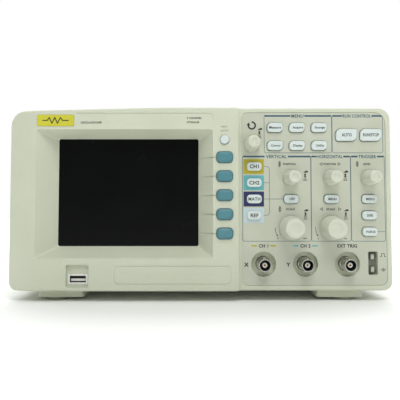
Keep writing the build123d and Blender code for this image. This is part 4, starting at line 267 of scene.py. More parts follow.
# polycarbonate film, printed behind: a shade greyer than the body and more even
overlay_film = printed("polycarbonate_printed_sheet", "#c6cab9", "#bdc1ae", 0.5, 0.46, depth=0.012)
INKS = {
    "steel": printed("ink_screen_steel_blue", "#305a70", "#294e61", 0.4, 0.5),
    "line": printed("ink_screen_line_grey", "#6d7f88", "#61737c", 0.4, 0.5),
    "black": printed("ink_screen_black", "#0e1012", "#17191a", 0.4, 0.5),
    "sign": printed("ink_screen_sign_grey", "#60655c", "#545950", 0.4, 0.5),
    # painted shade: a pale grey film for embossed lettering, which on the real bezel has the body's own
    # colour and shows only by its shading
    "faint": printed("painted_emboss_shade_grey", "#989e8b", "#8f9582", 0.4, 0.5),
    "yellow": printed("ink_screen_yellow", "#b5aa25", "#a89d1e", 0.4, 0.48),
    "cyan": printed("ink_screen_cyan", "#68b4b9", "#5da7ad", 0.4, 0.48),
    "navy": printed("ink_screen_navy", "#1d2a5e", "#172250", 0.4, 0.48),
    "pale": printed("ink_screen_pale_blue", "#c5d6d8", "#bccfd1", 0.4, 0.48),
}
# painted aluminium plate: strong yellow with a satin lacquer
badge_paint = printed("aluminium_lacquered_yellow", "#d3cf3c", "#c6c233", 0.5, 0.38, depth=0.01)
print("inks:", ", ".join(INKS))

# %% [markdown]
# ## Metals
# The jacks are turned brass with nickel plate, the terminals are tinned, and the sockets and the
# chassis are pressed steel. A metal's colour is its reflection, so what tells them apart is the
# roughness and the tool marks: rings from a lathe, and long faint streaks on rolled sheet.


# %% The metal finishes
def metal(name, base, tarnish, rough, streak=(1.0, 1.0, 1.0), mark=0.25, depth=0.004):
    """A plated or rolled metal. Streak stretches the marks, whose width is mark, in millimetres."""
    made, tree, shader = material(name)
    where = add(tree, "ShaderNodeTexCoord").outputs["Object"]
    drawn = add(tree, "ShaderNodeMapping", {"Vector": where, "Scale": streak})
    marks = add(
        tree,
        "ShaderNodeTexNoise",
        {"Vector": drawn.outputs["Vector"], "Scale": 1 / (mark * MM), "Detail": 3.0},
    )
    cloud = add(tree, "ShaderNodeTexNoise", {"Vector": where, "Scale": 1 / (6 * MM), "Detail": 4.0})
    tone = add(
        tree,
        "ShaderNodeMix",
        {"Factor": cloud.outputs["Fac"], "A": colour(tarnish), "B": colour(base)},
        data_type="RGBA",
    )
    spread = add(
        tree,
        "ShaderNodeMapRange",
        {
            "Value": marks.outputs["Fac"],
            "From Min": 0.3,
            "From Max": 0.7,
            "To Min": rough - 0.07,
            "To Max": rough + 0.1,
        },
    )
    dents = add(
        tree,
        "ShaderNodeBump",
        {"Height": marks.outputs["Fac"], "Strength": 0.4, "Distance": depth * MM},
    )
    tree.links.new(tone.outputs["Result"], shader.inputs["Base Color"])
    tree.links.new(spread.outputs["Result"], shader.inputs["Roughness"])
    tree.links.new(dents.outputs["Normal"], shader.inputs["Normal"])
    shader.inputs["Metallic"].default_value = 1.0
    return made


# nickel over turned brass: bright, with rings across the jack's length
jack_nickel = metal("brass_turned_nickel_plated", "#d6d5cf", "#b9b8b0", 0.2, streak=(0.15, 1.0, 0.15))
# gold flash on the centre contact
contact_gold = metal("brass_gold_flashed", "#c79a4b", "#9c7331", 0.28)
# tinned copper: softer and greyer than nickel
terminal_tin = metal("copper_tinned", "#c9c8c2", "#a3a29b", 0.3, mark=0.5)
# pressed steel of the sockets, drawn along its depth
socket_steel = metal("steel_pressed_nickel_plated", "#b9bab6", "#8f908c", 0.3, streak=(1.0, 0.1, 1.0))
# zinc-plated chassis sheet with its rolling streaks
chassis_zinc = metal("steel_zinc_plated_sheet", "#b4b6b2", "#94968f", 0.38, streak=(0.06, 1.0, 1.0), mark=0.6)
# blackened screws
screw_steel = metal("steel_black_oxide_screw", "#4c4e50", "#36383a", 0.38)
print("metals:", 6)

# %% [markdown]
# ## The screen, and what lies inside
# The window is clear acrylic with an anti-glare face, which is why it shows almost no reflection.
# The dark of the screen is the display behind it: a switched-off liquid-crystal panel under its
# polariser, with a dot grid too fine to see but a slight bloom from the backlight's diffuser.
# The circuit boards are glass-epoxy under a green solder mask, with copper tracks showing through.


# %% The window, the display and the boards
window_acrylic, tree, shader = material("acrylic_anti_glare_window")
where = add(tree, "ShaderNodeTexCoord").outputs["Object"]
etch = add(tree, "ShaderNodeTexNoise", {"Vector": where, "Scale": 1 / (0.5 * MM), "Detail": 2.0})
smear = add(tree, "ShaderNodeTexNoise", {"Vector": where, "Scale": 1 / (30 * MM), "Detail": 4.0})
haze = add(
    tree,
    "ShaderNodeMapRange",
    {"Value": smear.outputs["Fac"], "From Min": 0.3, "From Max": 0.7, "To Min": 0.16, "To Max": 0.28},
)
tint = add(
    tree,
    "ShaderNodeMix",
    {"Factor": smear.outputs["Fac"], "A": colour("#090b0a"), "B": colour("#0c0e0d")},
    data_type="RGBA",
)
frost = add(tree, "ShaderNodeBump", {"Height": etch.outputs["Fac"], "Strength": 0.15, "Distance": 0.002 * MM})
tree.links.new(tint.outputs["Result"], shader.inputs["Base Color"])
tree.links.new(haze.outputs["Result"], shader.inputs["Roughness"])
tree.links.new(frost.outputs["Normal"], shader.inputs["Normal"])
shader.inputs["IOR"].default_value = 1.49
shader.inputs["Specular IOR Level"].default_value = 0.08

lcd_polariser = printed("lcd_polariser_film", "#0d100f", "#141716", 0.4, 0.3, depth=0.002, spec=0.2)

circuit_board, tree, shader = material("fr4_green_solder_mask")
where = add(tree, "ShaderNodeTexCoord").outputs["Object"]
tracks = add(
    tree,
    "ShaderNodeTexBrick",
    {
        "Vector": where,
        "Color1": (1, 1, 1, 1),
        "Color2": (0.6, 0.6, 0.6, 1),
        "Mortar": (0, 0, 0, 1),
        "Scale": 1 / (9 * MM),
        "Mortar Size": 0.035,
    },
    offset=0.37,
)
weave = add(tree, "ShaderNodeTexNoise", {"Vector": where, "Scale": 1 / (0.8 * MM), "Detail": 3.0})
mask = add(
    tree,
    "ShaderNodeMix",
    {"Factor": tracks.outputs["Fac"], "A": colour("#1f5a3b"), "B": colour("#3d8358")},
    data_type="RGBA",
)
varied = add(
    tree,
    "ShaderNodeMix",
    {"Factor": 0.35, "A": mask.outputs["Result"], "B": weave.outputs["Color"]},
    data_type="RGBA",
    blend_type="SOFT_LIGHT",
)
ridge = add(tree, "ShaderNodeBump", {"Height": tracks.outputs["Fac"], "Strength": 0.5, "Distance": 0.03 * MM})
shine = add(
    tree,
    "ShaderNodeMapRange",
    {"Value": weave.outputs["Fac"], "From Min": 0.3, "From Max": 0.7, "To Min": 0.3, "To Max": 0.45},
)
tree.links.new(varied.outputs["Result"], shader.inputs["Base Color"])
tree.links.new(ridge.outputs["Normal"], shader.inputs["Normal"])
tree.links.new(shine.outputs["Result"], shader.inputs["Roughness"])

# PTFE of the jacks: waxy white, slightly translucent to the eye
ptfe = moulded("ptfe_turned_insulator", "#dcdcd2", "#cfcfc4", "#eeeee6", 0.4, 0.008, 0.45, corner_shade=0.2)
print("window, display, boards and insulator done")

# %% [markdown]
# ## Give every carried-over piece its finish
# The part's own solids are right for the mouldings, keys and knobs, so those stay, and each gets
# the finish of what it is made of. A table of name beginnings is enough: the longest match wins.

# %% Assign the finishes
FINISH = {
    "front_bezel": housing_abs,
    "rear_cover": housing_abs,
    "carry_handle": housing_abs,
    "tilt_leg": housing_abs,
    "control_overlay": overlay_film,
    "badge_plate": badge_paint,
    "display_window": window_acrylic,
    "lcd_panel": lcd_polariser,
    "key_": key_white,
    "key_f": key_teal,
    "key_force": key_white,
    "key_menu_toggle": key_white,
    "knob_": knob_abs,
    "power_button": key_white,
    "keypad_mat": silicone,
    "keypad_board": circuit_board,
    "main_board": circuit_board,
    "power_supply_board": circuit_board,
    "encoder_": encoder_nylon,
    "bnc_jacks": jack_nickel,
    "probe_comp_terminals": terminal_tin,
    "usb_sockets": jack_nickel,
    "rs232_port": socket_steel,
    "chassis": chassis_zinc,
    "fan_": black_nylon,
    "power_inlet": black_nylon,
    "rubber_feet": foot_rubber,
    "screws": screw_steel,
}
for name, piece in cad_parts.items():
    chosen = max((start for start in FINISH if name.startswith(start)), key=len)
    piece.data.materials.clear()
    piece.data.materials.append(FINISH[chosen])
print("finished nodes:", len(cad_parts))

# %% [markdown]
# ## Turned and pressed metal
# A jack is a turned part, so a lathe profile spun round its axis makes the same shape the same way.
# The profile is drawn as a few points, each a radius and a distance from the panel. The white
# insulator and the gold contact are turned pieces too, so they use the same function.


# %% A lathe
def turned(work, profile, where, steps=48):
    """Spins a profile of (radius, reach) points, in millimetres, and adds it to the bmesh work."""
    shape = bmesh.new()
    points = [shape.verts.new((radius, 0, reach)) for radius, reach in profile]
    line = [shape.edges.new(pair) for pair in zip(points, points[1:])]
    bmesh.ops.spin(
        shape,
        geom=points + line,
        cent=(0, 0, 0),
        axis=(0, 0, 1),
        angle=math.tau,
        steps=steps,
        use_merge=True,
    )
    bmesh.ops.remove_doubles(shape, verts=shape.verts, dist=0.0005)
    bmesh.ops.recalc_face_normals(shape, faces=shape.faces)
    bmesh.ops.transform(shape, matrix=where, verts=shape.verts)
    join(work, shape)


def join(work, shape):
    """Moves everything in the bmesh shape into the bmesh work."""
    carrier = bpy.data.meshes.new("carrier")
    shape.to_mesh(carrier)
    shape.free()
    work.from_mesh(carrier)
    bpy.data.meshes.remove(carrier)


def finish_piece(name, work, finish, body, smooth=True):
    """Makes the bmesh work, in metres, into a shown piece that rides on a body."""
    mesh = bpy.data.meshes.new(name)
    for face in work.faces:
        face.smooth = smooth
    work.to_mesh(mesh)
    work.free()
    mesh.materials.append(finish)
    piece = bpy.data.objects.new(name, mesh)
    bpy.context.scene.collection.objects.link(piece)
    if smooth:
        mesh.set_sharp_from_angle(angle=math.radians(32))
    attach(piece, body)
    print(f"{name}: {len(mesh.polygons)} faces on {body}")
    return piece


# %% The four jacks
JACK_REACH = 14.5
JACK_X = (50.0, 83.0, 116.0)
JACK_Z = 29.0
REAR_JACK_X = -112.5
BAY_Z = 35.3
LUG_RADIUS = 0.95
LUG_HEIGHT = 1.5
SHELL = [
    (5.5, -5.0), (5.5, 1.6), (5.1, 2.0), (4.8, 2.0), (4.8, 4.2), (4.55, 4.5), (4.55, 8.6), (4.8, 8.9),
    (4.8, 14.2), (4.55, 14.5), (4.3, 14.5), (4.15, 14.3), (4.15, 6.5), (0.0, 6.5), (0.0, -5.0), (5.5, -5.0),
]
# painted shadow: a black lining inside each shell's bore, standing for the shadow that fills the bore of a
# real jack
BORE_SHADE_PROFILE = [
    (1.95, 6.5), (4.14, 6.5), (4.14, 13.2), (4.0, 13.3), (3.9, 13.2), (3.9, 7.3), (1.95, 7.3), (1.95, 6.5),
]
INSULATOR = [(0.9, 6.6), (1.94, 6.6), (1.94, 12.4), (1.75, 12.6), (1.05, 12.6), (0.9, 12.45), (0.9, 6.6)]
CONTACT = [(0.0, 6.6), (0.89, 6.6), (0.89, 12.1), (0.75, 12.3), (0.55, 12.3), (0.52, 8.0), (0.0, 8.0)]

jack_low, jack_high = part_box("bnc_jacks")
front_floor = jack_low.y + JACK_REACH * MM
rear_floor = jack_high.y - JACK_REACH * MM
TO_FRONT = Matrix.Rotation(math.radians(90), 4, "X")
TO_REAR = Matrix.Rotation(math.radians(-90), 4, "X")
JACKS = [((x * MM, front_floor, JACK_Z * MM), TO_FRONT) for x in JACK_X]
JACKS.append(((REAR_JACK_X * MM, rear_floor, BAY_Z * MM), TO_REAR))

shells, bore_shades, insulators, contacts = (bmesh.new() for _ in range(4))
for place, turn in JACKS:
    stand = Matrix.Translation(place) @ turn @ Matrix.Scale(MM, 4)
    turned(shells, SHELL, stand)
    turned(bore_shades, BORE_SHADE_PROFILE, stand, steps=32)
    turned(insulators, INSULATOR, stand, steps=32)
    turned(contacts, CONTACT, stand, steps=24)
    for side in (-1, 1):
        lug = bmesh.new()
        bmesh.ops.create_cone(
            lug, cap_ends=True, segments=20, radius1=LUG_RADIUS, radius2=LUG_RADIUS, depth=LUG_HEIGHT
        )
        rim = [e for e in lug.edges if all(v.co.z > 0 for v in e.verts)]
        bmesh.ops.bevel(
            lug,
            geom=rim,
            offset=0.22,
            offset_type="OFFSET",
            segments=2,
            profile=0.5,
            affect="EDGES",
            material=-1,
        )
        out = Matrix.Rotation(math.radians(-90 * side), 4, "X")
        spot = Matrix.Translation((0, side * 4.72, JACK_REACH - 5.0))
        bmesh.ops.transform(lug, matrix=stand @ spot @ out, verts=lug.verts)
        join(shells, lug)
shell_piece = finish_piece("jack_shells", shells, jack_nickel, "root")
# the bore's painted shadow, given the black nylon finish
finish_piece("jack_bore_shade", bore_shades, black_nylon, "root")
finish_piece("jack_insulators", insulators, ptfe, "root")
finish_piece("jack_contacts", contacts, contact_gold, "root")
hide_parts("bnc_jacks")

# %% [markdown]
# ## Insides of the sockets
# A socket's shell is steel, but its tongue is white plastic, its back is black, and its pins are
# plated. Each is a separate moulding or stamping on the real thing, so each is a piece here, a
# few hundredths of a millimetre over the plain solid it covers. Behind the two loops of the probe
# slot lies a grey sheet of painted shade, which is what makes the metal stand out.

# %% A small block with broken edges
def add_block(work, centre_mm, size_mm, corner=0.12):
    """Adds a block, in millimetres, whose edges are broken by a small bevel."""
    shape = bmesh.new()
    bmesh.ops.create_cube(shape, size=1.0)
    bmesh.ops.scale(shape, vec=size_mm, verts=shape.verts)
    bmesh.ops.bevel(
        shape,
        geom=shape.edges[:],
        offset=corner,
        offset_type="OFFSET",
        segments=2,
        profile=0.5,
        affect="EDGES",
        material=-1,
    )
    bmesh.ops.transform(shape, matrix=Matrix.Scale(MM, 4) @ Matrix.Translation(centre_mm), verts=shape.verts)
    join(work, shape)


# %% Tongues, backs, pins, and a sheet of painted shade behind the probe loops
# glass-filled polyester of the tongues: plain white, slightly glossy
tongue_white = moulded("pbt_moulded_white", "#dfe0dc", "#d2d3ce", "#efefec", 0.4, 0.008, 0.4, corner_shade=0.2)
# painted shade of the probe slot's floor: a thin grey sheet with a dull cut edge
slot_shade_finish = moulded("painted_slot_shade_grey", "#8a8d80", "#7d8074", "#9fa295", 0.5, 0.02, 0.55, corner_shade=0.1)

HOST_X, HOST_Z = -95.8, 17.6
SERIAL_X = -77.5
DEVICE_X = -45.5
INLET_X, INLET_Z = 105.5, 38.3
PROBE_X, PROBE_Z = 136.1, 29.7
PIN_PITCH, PIN_RISE = 2.77, 1.42
PIN = [(0.0, -1.0), (0.53, -1.0), (0.53, 4.2), (0.3, 4.7), (0.0, 4.72)]
tongues, backs, gilt, blades, shade_sheet_work = (bmesh.new() for _ in range(5))
add_block(tongues, (HOST_X, -44.4, HOST_Z - 0.73), (11.16, 10.7, 1.9))
add_block(backs, (HOST_X, -43.4, HOST_Z), (12.4, 7.6, 5.0))
for across in (-3.5, -1.0, 1.0, 3.5):
    add_block(gilt, (HOST_X + across, -48.5, HOST_Z + 0.26), (1.0, 2.3, 0.1), corner=0.03)
add_block(tongues, (DEVICE_X, 46.3, BAY_Z), (5.66, 10.0, 3.26))
add_block(backs, (DEVICE_X, 45.0, BAY_Z), (8.35, 8.0, 7.7))
add_block(backs, (SERIAL_X, 51.3, BAY_Z), (15.0, 1.1, 6.6), corner=0.5)
for count, up in ((5, PIN_RISE), (4, -PIN_RISE)):
    for place in range(count):
        across = PIN_PITCH * (place - (count - 1) / 2)
        spot = Matrix.Translation(((SERIAL_X + across) * MM, 50.8 * MM, (BAY_Z + up) * MM))
        turned(gilt, PIN, spot @ TO_REAR @ Matrix.Scale(MM, 4), steps=14)
for across, up in ((-7.0, -1.5), (7.0, -1.5), (0.0, 3.0)):
    add_block(blades, (INLET_X + across, 56.4, INLET_Z + up), (2.06, 13.2, 4.06), corner=0.4)
# painted shade: a grey sheet laid on the floor of the probe slot
add_block(shade_sheet_work, (PROBE_X, -44.6, PROBE_Z), (7.3, 0.4, 18.3), corner=0.1)
finish_piece("socket_tongues", tongues, tongue_white, "root")
finish_piece("socket_backs", backs, black_nylon, "root")
finish_piece("socket_contacts", gilt, contact_gold, "root")
finish_piece("inlet_blades", blades, jack_nickel, "root")
finish_piece("probe_slot_shade_sheet", shade_sheet_work, slot_shade_finish, "root")

# %% [markdown]
# ## Ink, lettering and lines
# The print is drawn flat, in millimetres, as on the printer's artwork: bars, boxes, lines, arrows
# and lettering, one layer for each ink. Each layer is then stood up against the face it is printed
# on, as a film a few hundredths of a millimetre thick, so no pattern has to be painted by position.


# %% Drawing helpers
INK = 0.04


def thicken(shape):
    """Gives flat faces the thickness of the ink, as a closed film."""
    faces = shape.faces[:]
    raised = bmesh.ops.extrude_face_region(shape, geom=faces, use_keep_orig=True)
    tops = [v for v in raised["geom"] if isinstance(v, bmesh.types.BMVert)]
    bmesh.ops.translate(shape, vec=(0, 0, INK), verts=tops)
    bmesh.ops.recalc_face_normals(shape, faces=shape.faces)


def draw_bar(work, x, y, width, height, corner=0.0):
    """A bar centred on x and y."""
    shape = bmesh.new()
    bmesh.ops.create_grid(shape, x_segments=1, y_segments=1, size=0.5)
    bmesh.ops.scale(shape, vec=(width, height, 1), verts=shape.verts)
    if corner:
        bmesh.ops.bevel(
            shape,
            geom=shape.verts[:],
            offset=corner,
            offset_type="OFFSET",
            segments=5,
            profile=0.5,
            affect="VERTICES",
            material=-1,
        )
    thicken(shape)
    bmesh.ops.translate(shape, vec=(x, y, 0), verts=shape.verts)
    join(work, shape)


def draw_arrow(work, x, y, size, turn):
    """A solid arrowhead that points along turn, in degrees from the right."""
    shape = bmesh.new()
    bmesh.ops.create_circle(shape, cap_ends=True, segments=3, radius=size)
    heading = Matrix.Rotation(math.radians(turn - 90), 3, "Z")
    bmesh.ops.rotate(shape, cent=(0, 0, 0), matrix=heading, verts=shape.verts)
    thicken(shape)
    bmesh.ops.translate(shape, vec=(x, y, 0), verts=shape.verts)
    join(work, shape)


def draw_disc(work, x, y, radius):
    """A round dot."""
    shape = bmesh.new()
    bmesh.ops.create_circle(shape, cap_ends=True, segments=16, radius=radius)
    thicken(shape)
    bmesh.ops.translate(shape, vec=(x, y, 0), verts=shape.verts)
    join(work, shape)


def draw_arc(work, x, y, radius, start, sweep, line):
    """A band along an arc, from start through sweep degrees, swung like a pair of compasses."""
    shape = bmesh.new()
    ends = [shape.verts.new((radius + side * line / 2, 0, 0)) for side in (-1, 1)]
    edge = shape.edges.new(ends)
    steps = max(4, int(abs(sweep) / 9))
    bmesh.ops.spin(
        shape,
        geom=ends + [edge],
        cent=(0, 0, 0),
        axis=(0, 0, 1),
        angle=math.radians(sweep),
        steps=steps,
    )
    heading = Matrix.Rotation(math.radians(start), 3, "Z")
    bmesh.ops.rotate(shape, cent=(0, 0, 0), matrix=heading, verts=shape.verts)
    thicken(shape)
    bmesh.ops.translate(shape, vec=(x, y, 0), verts=shape.verts)
    join(work, shape)


def draw_line(work, x0, y0, x1, y1, line):
    """A straight stroke between two points."""
    run = math.hypot(x1 - x0, y1 - y0)
    stroke = bmesh.new()
    draw_bar(stroke, 0, 0, run + line, line, corner=line * 0.45)
    slope = Matrix.Rotation(math.atan2(y1 - y0, x1 - x0), 4, "Z")
    middle = Matrix.Translation(((x0 + x1) / 2, (y0 + y1) / 2, 0))
    bmesh.ops.transform(stroke, matrix=middle @ slope, verts=stroke.verts)
    join(work, stroke)


def draw_open_arrow(work, x, y, size, turn, line):
    """The outline of an arrowhead that points along turn, in degrees from the right."""
    corners = []
    for step in (0, 120, 240):
        angle = math.radians(turn + step)
        corners.append((x + size * math.cos(angle), y + size * math.sin(angle)))
    for (x0, y0), (x1, y1) in zip(corners, corners[1:] + corners[:1]):
        draw_line(work, x0, y0, x1, y1, line)


def draw_text(work, words, x, y, height, widest=None, bold=0.03):
    """Lettering centred on x and y, with capitals of that height, narrowed to fit if it must."""
    curve = bpy.data.curves.new("lettering", "FONT")
    curve.body = words
    curve.resolution_u = 3
    curve.align_x = "CENTER"
    curve.offset = bold
    curve.space_character = 1.06
    holder = bpy.data.objects.new("lettering", curve)
    flat = bpy.data.meshes.new_from_object(holder)
    bpy.data.objects.remove(holder)
    bpy.data.curves.remove(curve)
    shape = bmesh.new()
    shape.from_mesh(flat)
    bpy.data.meshes.remove(flat)
    across = [v.co.x for v in shape.verts]
    up = [v.co.y for v in shape.verts]
    grow = height / CAPITAL
    squeeze = min(1.0, widest / ((max(across) - min(across)) * grow)) if widest else 1.0
    middle = Matrix.Translation((-(max(across) + min(across)) / 2, -CAPITAL / 2, 0))
    size = Matrix.Diagonal((grow * squeeze, grow, 1, 1))
    bmesh.ops.transform(shape, matrix=Matrix.Translation((x, y, 0)) @ size @ middle, verts=shape.verts)
    thicken(shape)
    join(work, shape)
    return max(up)


# %% Measure the capitals once
CAPITAL = 1.0
CAPITAL = draw_text(bmesh.new(), "H", 0, 0, 1.0)
print(f"a capital is {CAPITAL:.3f} of the letter size")


def stand_up(name, work, face_y, finish, body):
    """Stands a flat drawing, in millimetres, against the front face at face_y metres."""
    place = Matrix.Translation((0, face_y, 0)) @ TO_FRONT @ Matrix.Scale(MM, 4)
    bmesh.ops.transform(work, matrix=place, verts=work.verts)
    return finish_piece(name, work, finish, body, smooth=False)


# %% [markdown]
# ## The control panel's artwork
# Every group of controls has a box with a thick bar at its top, broken by a title. The four
# source keys sit on coloured tiles, in the colours that their traces have on the screen, and a
# bracket joins them to the key that switches a trace off. The tiles and the signs take their places
# from the keys and knobs themselves, so they line up with them; the boxes are given in millimetres.


# %% Where the controls are
def centre(node):
    """The middle of a node, across and up, in millimetres."""
    low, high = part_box(node)
    return ((low.x + high.x) / 2 / MM, (low.z + high.z) / 2 / MM)


layers = {ink: bmesh.new() for ink in INKS}
LINE = 0.45
BAR = 1.3
TITLE = 2.5
CORNER = 1.6


def control_box(x0, x1, z0, z1, title, title_x, title_width):
    """A box with rounded corners whose top bar stops on each side of its title."""
    work = layers["line"]
    left, right, low, high = x0 + CORNER, x1 - CORNER, z0 + CORNER, z1 - CORNER
    for x in (x0, x1):
        draw_line(work, x, low, x, high, LINE)
    draw_line(work, left, z0, right, z0, LINE)
    for x, z, start in ((right, high, 0), (left, high, 90), (left, low, 180), (right, low, 270)):
        draw_arc(work, x, z, CORNER, start, 90, LINE)
    for left, right in ((x0 + 0.4, title_x - title_width / 2), (title_x + title_width / 2, x1 - 0.4)):
        draw_bar(layers["steel"], (left + right) / 2, z1 - BAR / 2, right - left, BAR, corner=0.35)
    draw_text(layers["steel"], title, title_x, z1 - BAR / 2, TITLE, widest=title_width - 1.0, bold=0.025)


control_box(51.0, 104.7, 117.0, 147.2, "MENU", 77.6, 11.2)
control_box(105.2, 145.4, 117.0, 147.2, "RUN CONTROL", 125.0, 23.4)
control_box(33.7, 87.8, 47.0, 114.7, "VERTICAL", 60.5, 18.4)
control_box(88.1, 119.3, 47.0, 114.7, "HORIZONTAL", 103.3, 21.0)
control_box(119.6, 146.3, 47.0, 114.7, "TRIGGER", 132.9, 15.2)
print("control boxes:", 5)

# %% Tiles under the source keys, and the bracket that joins them
for node, ink in (("key_ch1", "yellow"), ("key_ch2", "cyan"), ("key_math", "navy"), ("key_ref", "pale")):
    x, z = centre(node)
    draw_bar(layers[ink], x - 0.3, z, 16.2, 11.9, corner=0.5)
tile_right = centre("key_ch1")[0] + 7.9
bracket_x = 54.9
top_z, low_z = centre("key_ch1")[1], centre("key_ref")[1]
bend = 2.6
draw_line(layers["line"], tile_right, top_z, bracket_x - bend, top_z, LINE)
draw_arc(layers["line"], bracket_x - bend, top_z - bend, bend, 0, 90, LINE)
draw_line(layers["line"], bracket_x, top_z - bend, bracket_x, low_z + bend, LINE)
draw_arc(layers["line"], bracket_x - bend, low_z + bend, bend, -90, 90, LINE)
draw_line(layers["line"], tile_right, low_z, bracket_x - bend, low_z, LINE)
draw_line(layers["line"], tile_right, centre("key_ch2")[1], bracket_x, centre("key_ch2")[1], LINE)
off_x, off_z = centre("key_off")
draw_line(layers["line"], tile_right, off_z, off_x - 6.0, off_z, LINE)
force_x, force_z = centre("key_force")
draw_line(layers["line"], force_x + 6.4, force_z, 146.1, force_z, LINE)
print("tiles:", 4)


# %% Signs beside the knobs
def up_down(x, z):
    """Two open arrows, one above the other, round a short bar."""
    for side in (-1, 1):
        draw_open_arrow(layers["black"], x, z + side * 1.15, 1.15, 90 * side, 0.35)
    draw_bar(layers["black"], x, z, 0.45, 2.6)


def push_sign(x, z):
    """A finger that pushes: a chevron, a fingertip and the hand behind it."""
    draw_line(layers["black"], x - 1.1, z + 3.3, x + 0.9, z + 4.5, 0.75)
    draw_line(layers["black"], x + 0.2, z + 3.3, x + 1.7, z + 3.7, 0.75)
    draw_line(layers["black"], x + 0.9, z + 4.5, x + 2.0, z + 3.9, 0.45)
    draw_disc(layers["black"], x - 0.3, z + 1.5, 0.8)
    draw_arrow(layers["black"], x - 0.3, z + 0.2, 1.2, 90)
    for step in range(3):
        draw_bar(layers["sign"], x - 0.3, z - 1.1 - step * 1.0, 2.2 + step * 0.5, 0.5)


for name, title, rise, shift in (
    ("vertical_position", "POSITION", 11.0, -1.1),
    ("horizontal_position", "POSITION", 11.0, -1.0),
    ("trigger_level", "LEVEL", 11.0, -1.2),
    ("vertical_scale", "SCALE", 14.8, -0.5),
    ("horizontal_scale", "SCALE", 14.8, -0.6),
):
    x, z = centre("knob_" + name)
    draw_text(layers["black"], title, x + shift, z + rise, 1.65, widest=9.8)
    if name.startswith("horizontal"):
        draw_open_arrow(layers["black"], x - 7.7, z + rise, 1.3, 180, 0.35)
        draw_open_arrow(layers["black"], x + 6.3, z + rise, 1.3, 0, 0.35)
    else:
        up_down(x - 8.9, z + rise)
    if name.endswith("position"):
        push_sign(x + 11.6, z + 1.0)
for name, large, small in (("vertical_scale", "V", "mV"), ("horizontal_scale", "s", "ns")):
    x, z = centre("knob_" + name)
    push_sign(x + 11.6, z + 10.0)
    draw_arc(layers["black"], x, z, 12.7, 178, 26, 0.4)
    draw_arrow(layers["black"], x - 11.2, z - 5.9, 1.0, 292)
    draw_text(layers["black"], large, x - 10.7, z - 8.2, 1.5)
    draw_text(layers["black"], small, x + 10.9, z - 8.2, 1.4)
x, z = centre("knob_multifunction")
push_sign(x + 6.3, z + 8.2)
draw_arc(layers["black"], x, z + 14.9, 2.75, 165, 290, 1.25)
draw_arrow(layers["black"], x - 2.6, z + 15.9, 1.6, 70)
print("signs drawn")

# %% Names of the inputs
JACK_TOP = 14.4
for x, words, ink in zip(JACK_X, ("CH 1", "CH 2", "EXT TRIG"), ("yellow", "cyan", None)):
    draw_text(layers["black"], words, x, JACK_Z + JACK_TOP, 2.5, bold=0.035)
    for side in (-1, 1) if ink else ():
        draw_bar(layers[ink], x + side * 7.5, JACK_Z + JACK_TOP, 4.2, 1.15)
draw_text(layers["black"], "X", 36.4, 28.7, 3.0, bold=0.045)
draw_text(layers["black"], "Y", 69.4, 28.7, 3.0, bold=0.045)
wave_x, wave_z = 144.0, 36.1
wave = [(-2.2, -1.1), (-1.1, -1.1), (-1.1, 1.2), (1.1, 1.2), (1.1, -1.1), (2.2, -1.1)]
for (x0, z0), (x1, z1) in zip(wave, wave[1:]):
    draw_line(layers["black"], wave_x + x0, wave_z + z0, wave_x + x1, wave_z + z1, 0.4)
draw_line(layers["black"], 144.1, 26.4, 144.1, 25.0, 0.4)
for step in range(3):
    half = 1.9 - step * 0.65
    draw_line(layers["black"], 144.1 - half, 25.0 - step * 0.7, 144.1 + half, 25.0 - step * 0.7, 0.38)
overlay_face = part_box("control_overlay")[0].y
used = {ink: work for ink, work in layers.items() if work.faces}
for ink, work in used.items():
    stand_up("panel_print_" + ink, work, overlay_face, INKS[ink], "root")

# %% [markdown]
# ## Legends on the keys
# A legend is pad-printed on its key and moves in with it when the key is pressed, so each one is
# its own piece that rides on its own key.

# %% Key legends
LEGENDS = {
    "key_measure": ("Measure", 1.85, 9.6),
    "key_acquire": ("Acquire", 1.75, 8.6),
    "key_storage": ("Storage", 1.75, 8.8),
    "key_cursor": ("Cursor", 1.75, 7.8),
    "key_display": ("Display", 1.75, 8.4),
    "key_utility": ("Utility", 1.75, 7.0),
    "key_auto": ("AUTO", 2.5, 8.0),
    "key_run_stop": ("RUN/STOP", 2.4, 12.6),
    "key_ch1": ("CH1", 2.9, 8.2),
    "key_ch2": ("CH2", 2.9, 8.2),
    "key_math": ("MATH", 2.6, 9.4),
    "key_ref": ("REF", 2.8, 6.8),
    "key_off": ("OFF", 1.7, 4.8),
    "key_horizontal_menu": ("MENU", 1.7, 6.8),
    "key_trigger_menu": ("MENU", 1.7, 6.8),
    "key_half_level": ("50%", 1.9, 5.2),
    "key_force": ("FORCE", 1.7, 7.2),
}
for node, (words, height, widest) in LEGENDS.items():
    x, z = centre(node)
    work = bmesh.new()
    shift = 0.5 if height < 1.8 else 0.0
    draw_text(work, words, x + shift, z, height, widest=widest, bold=0.025)
    stand_up("legend_" + node[4:], work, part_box(node)[0].y, INKS["black"], node)
print("legends:", len(LEGENDS))

# %% [markdown]
# ## The badge and the title strip
# The yellow plate carries only a plain pulse, which says what the instrument shows and belongs to
# nobody. Beside it stands the kind of instrument, in plain capitals.

# %% Badge, title and key captions on the display part
badge_x, badge_z = centre("badge_plate")
pulse = bmesh.new()
stops = [
    (-10, 0), (-6.5, 0), (-5, 2.3), (-2.8, -2.3), (-0.6, 2.3), (1.6, -2.3), (3.8, 2.3), (5.6, 0), (10, 0),
]
for (x0, z0), (x1, z1) in zip(stops, stops[1:]):
    draw_line(pulse, badge_x + x0, badge_z + z0, badge_x + x1, badge_z + z1, 0.75)
stand_up("badge_pulse", pulse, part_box("badge_plate")[0].y, INKS["black"], "root")

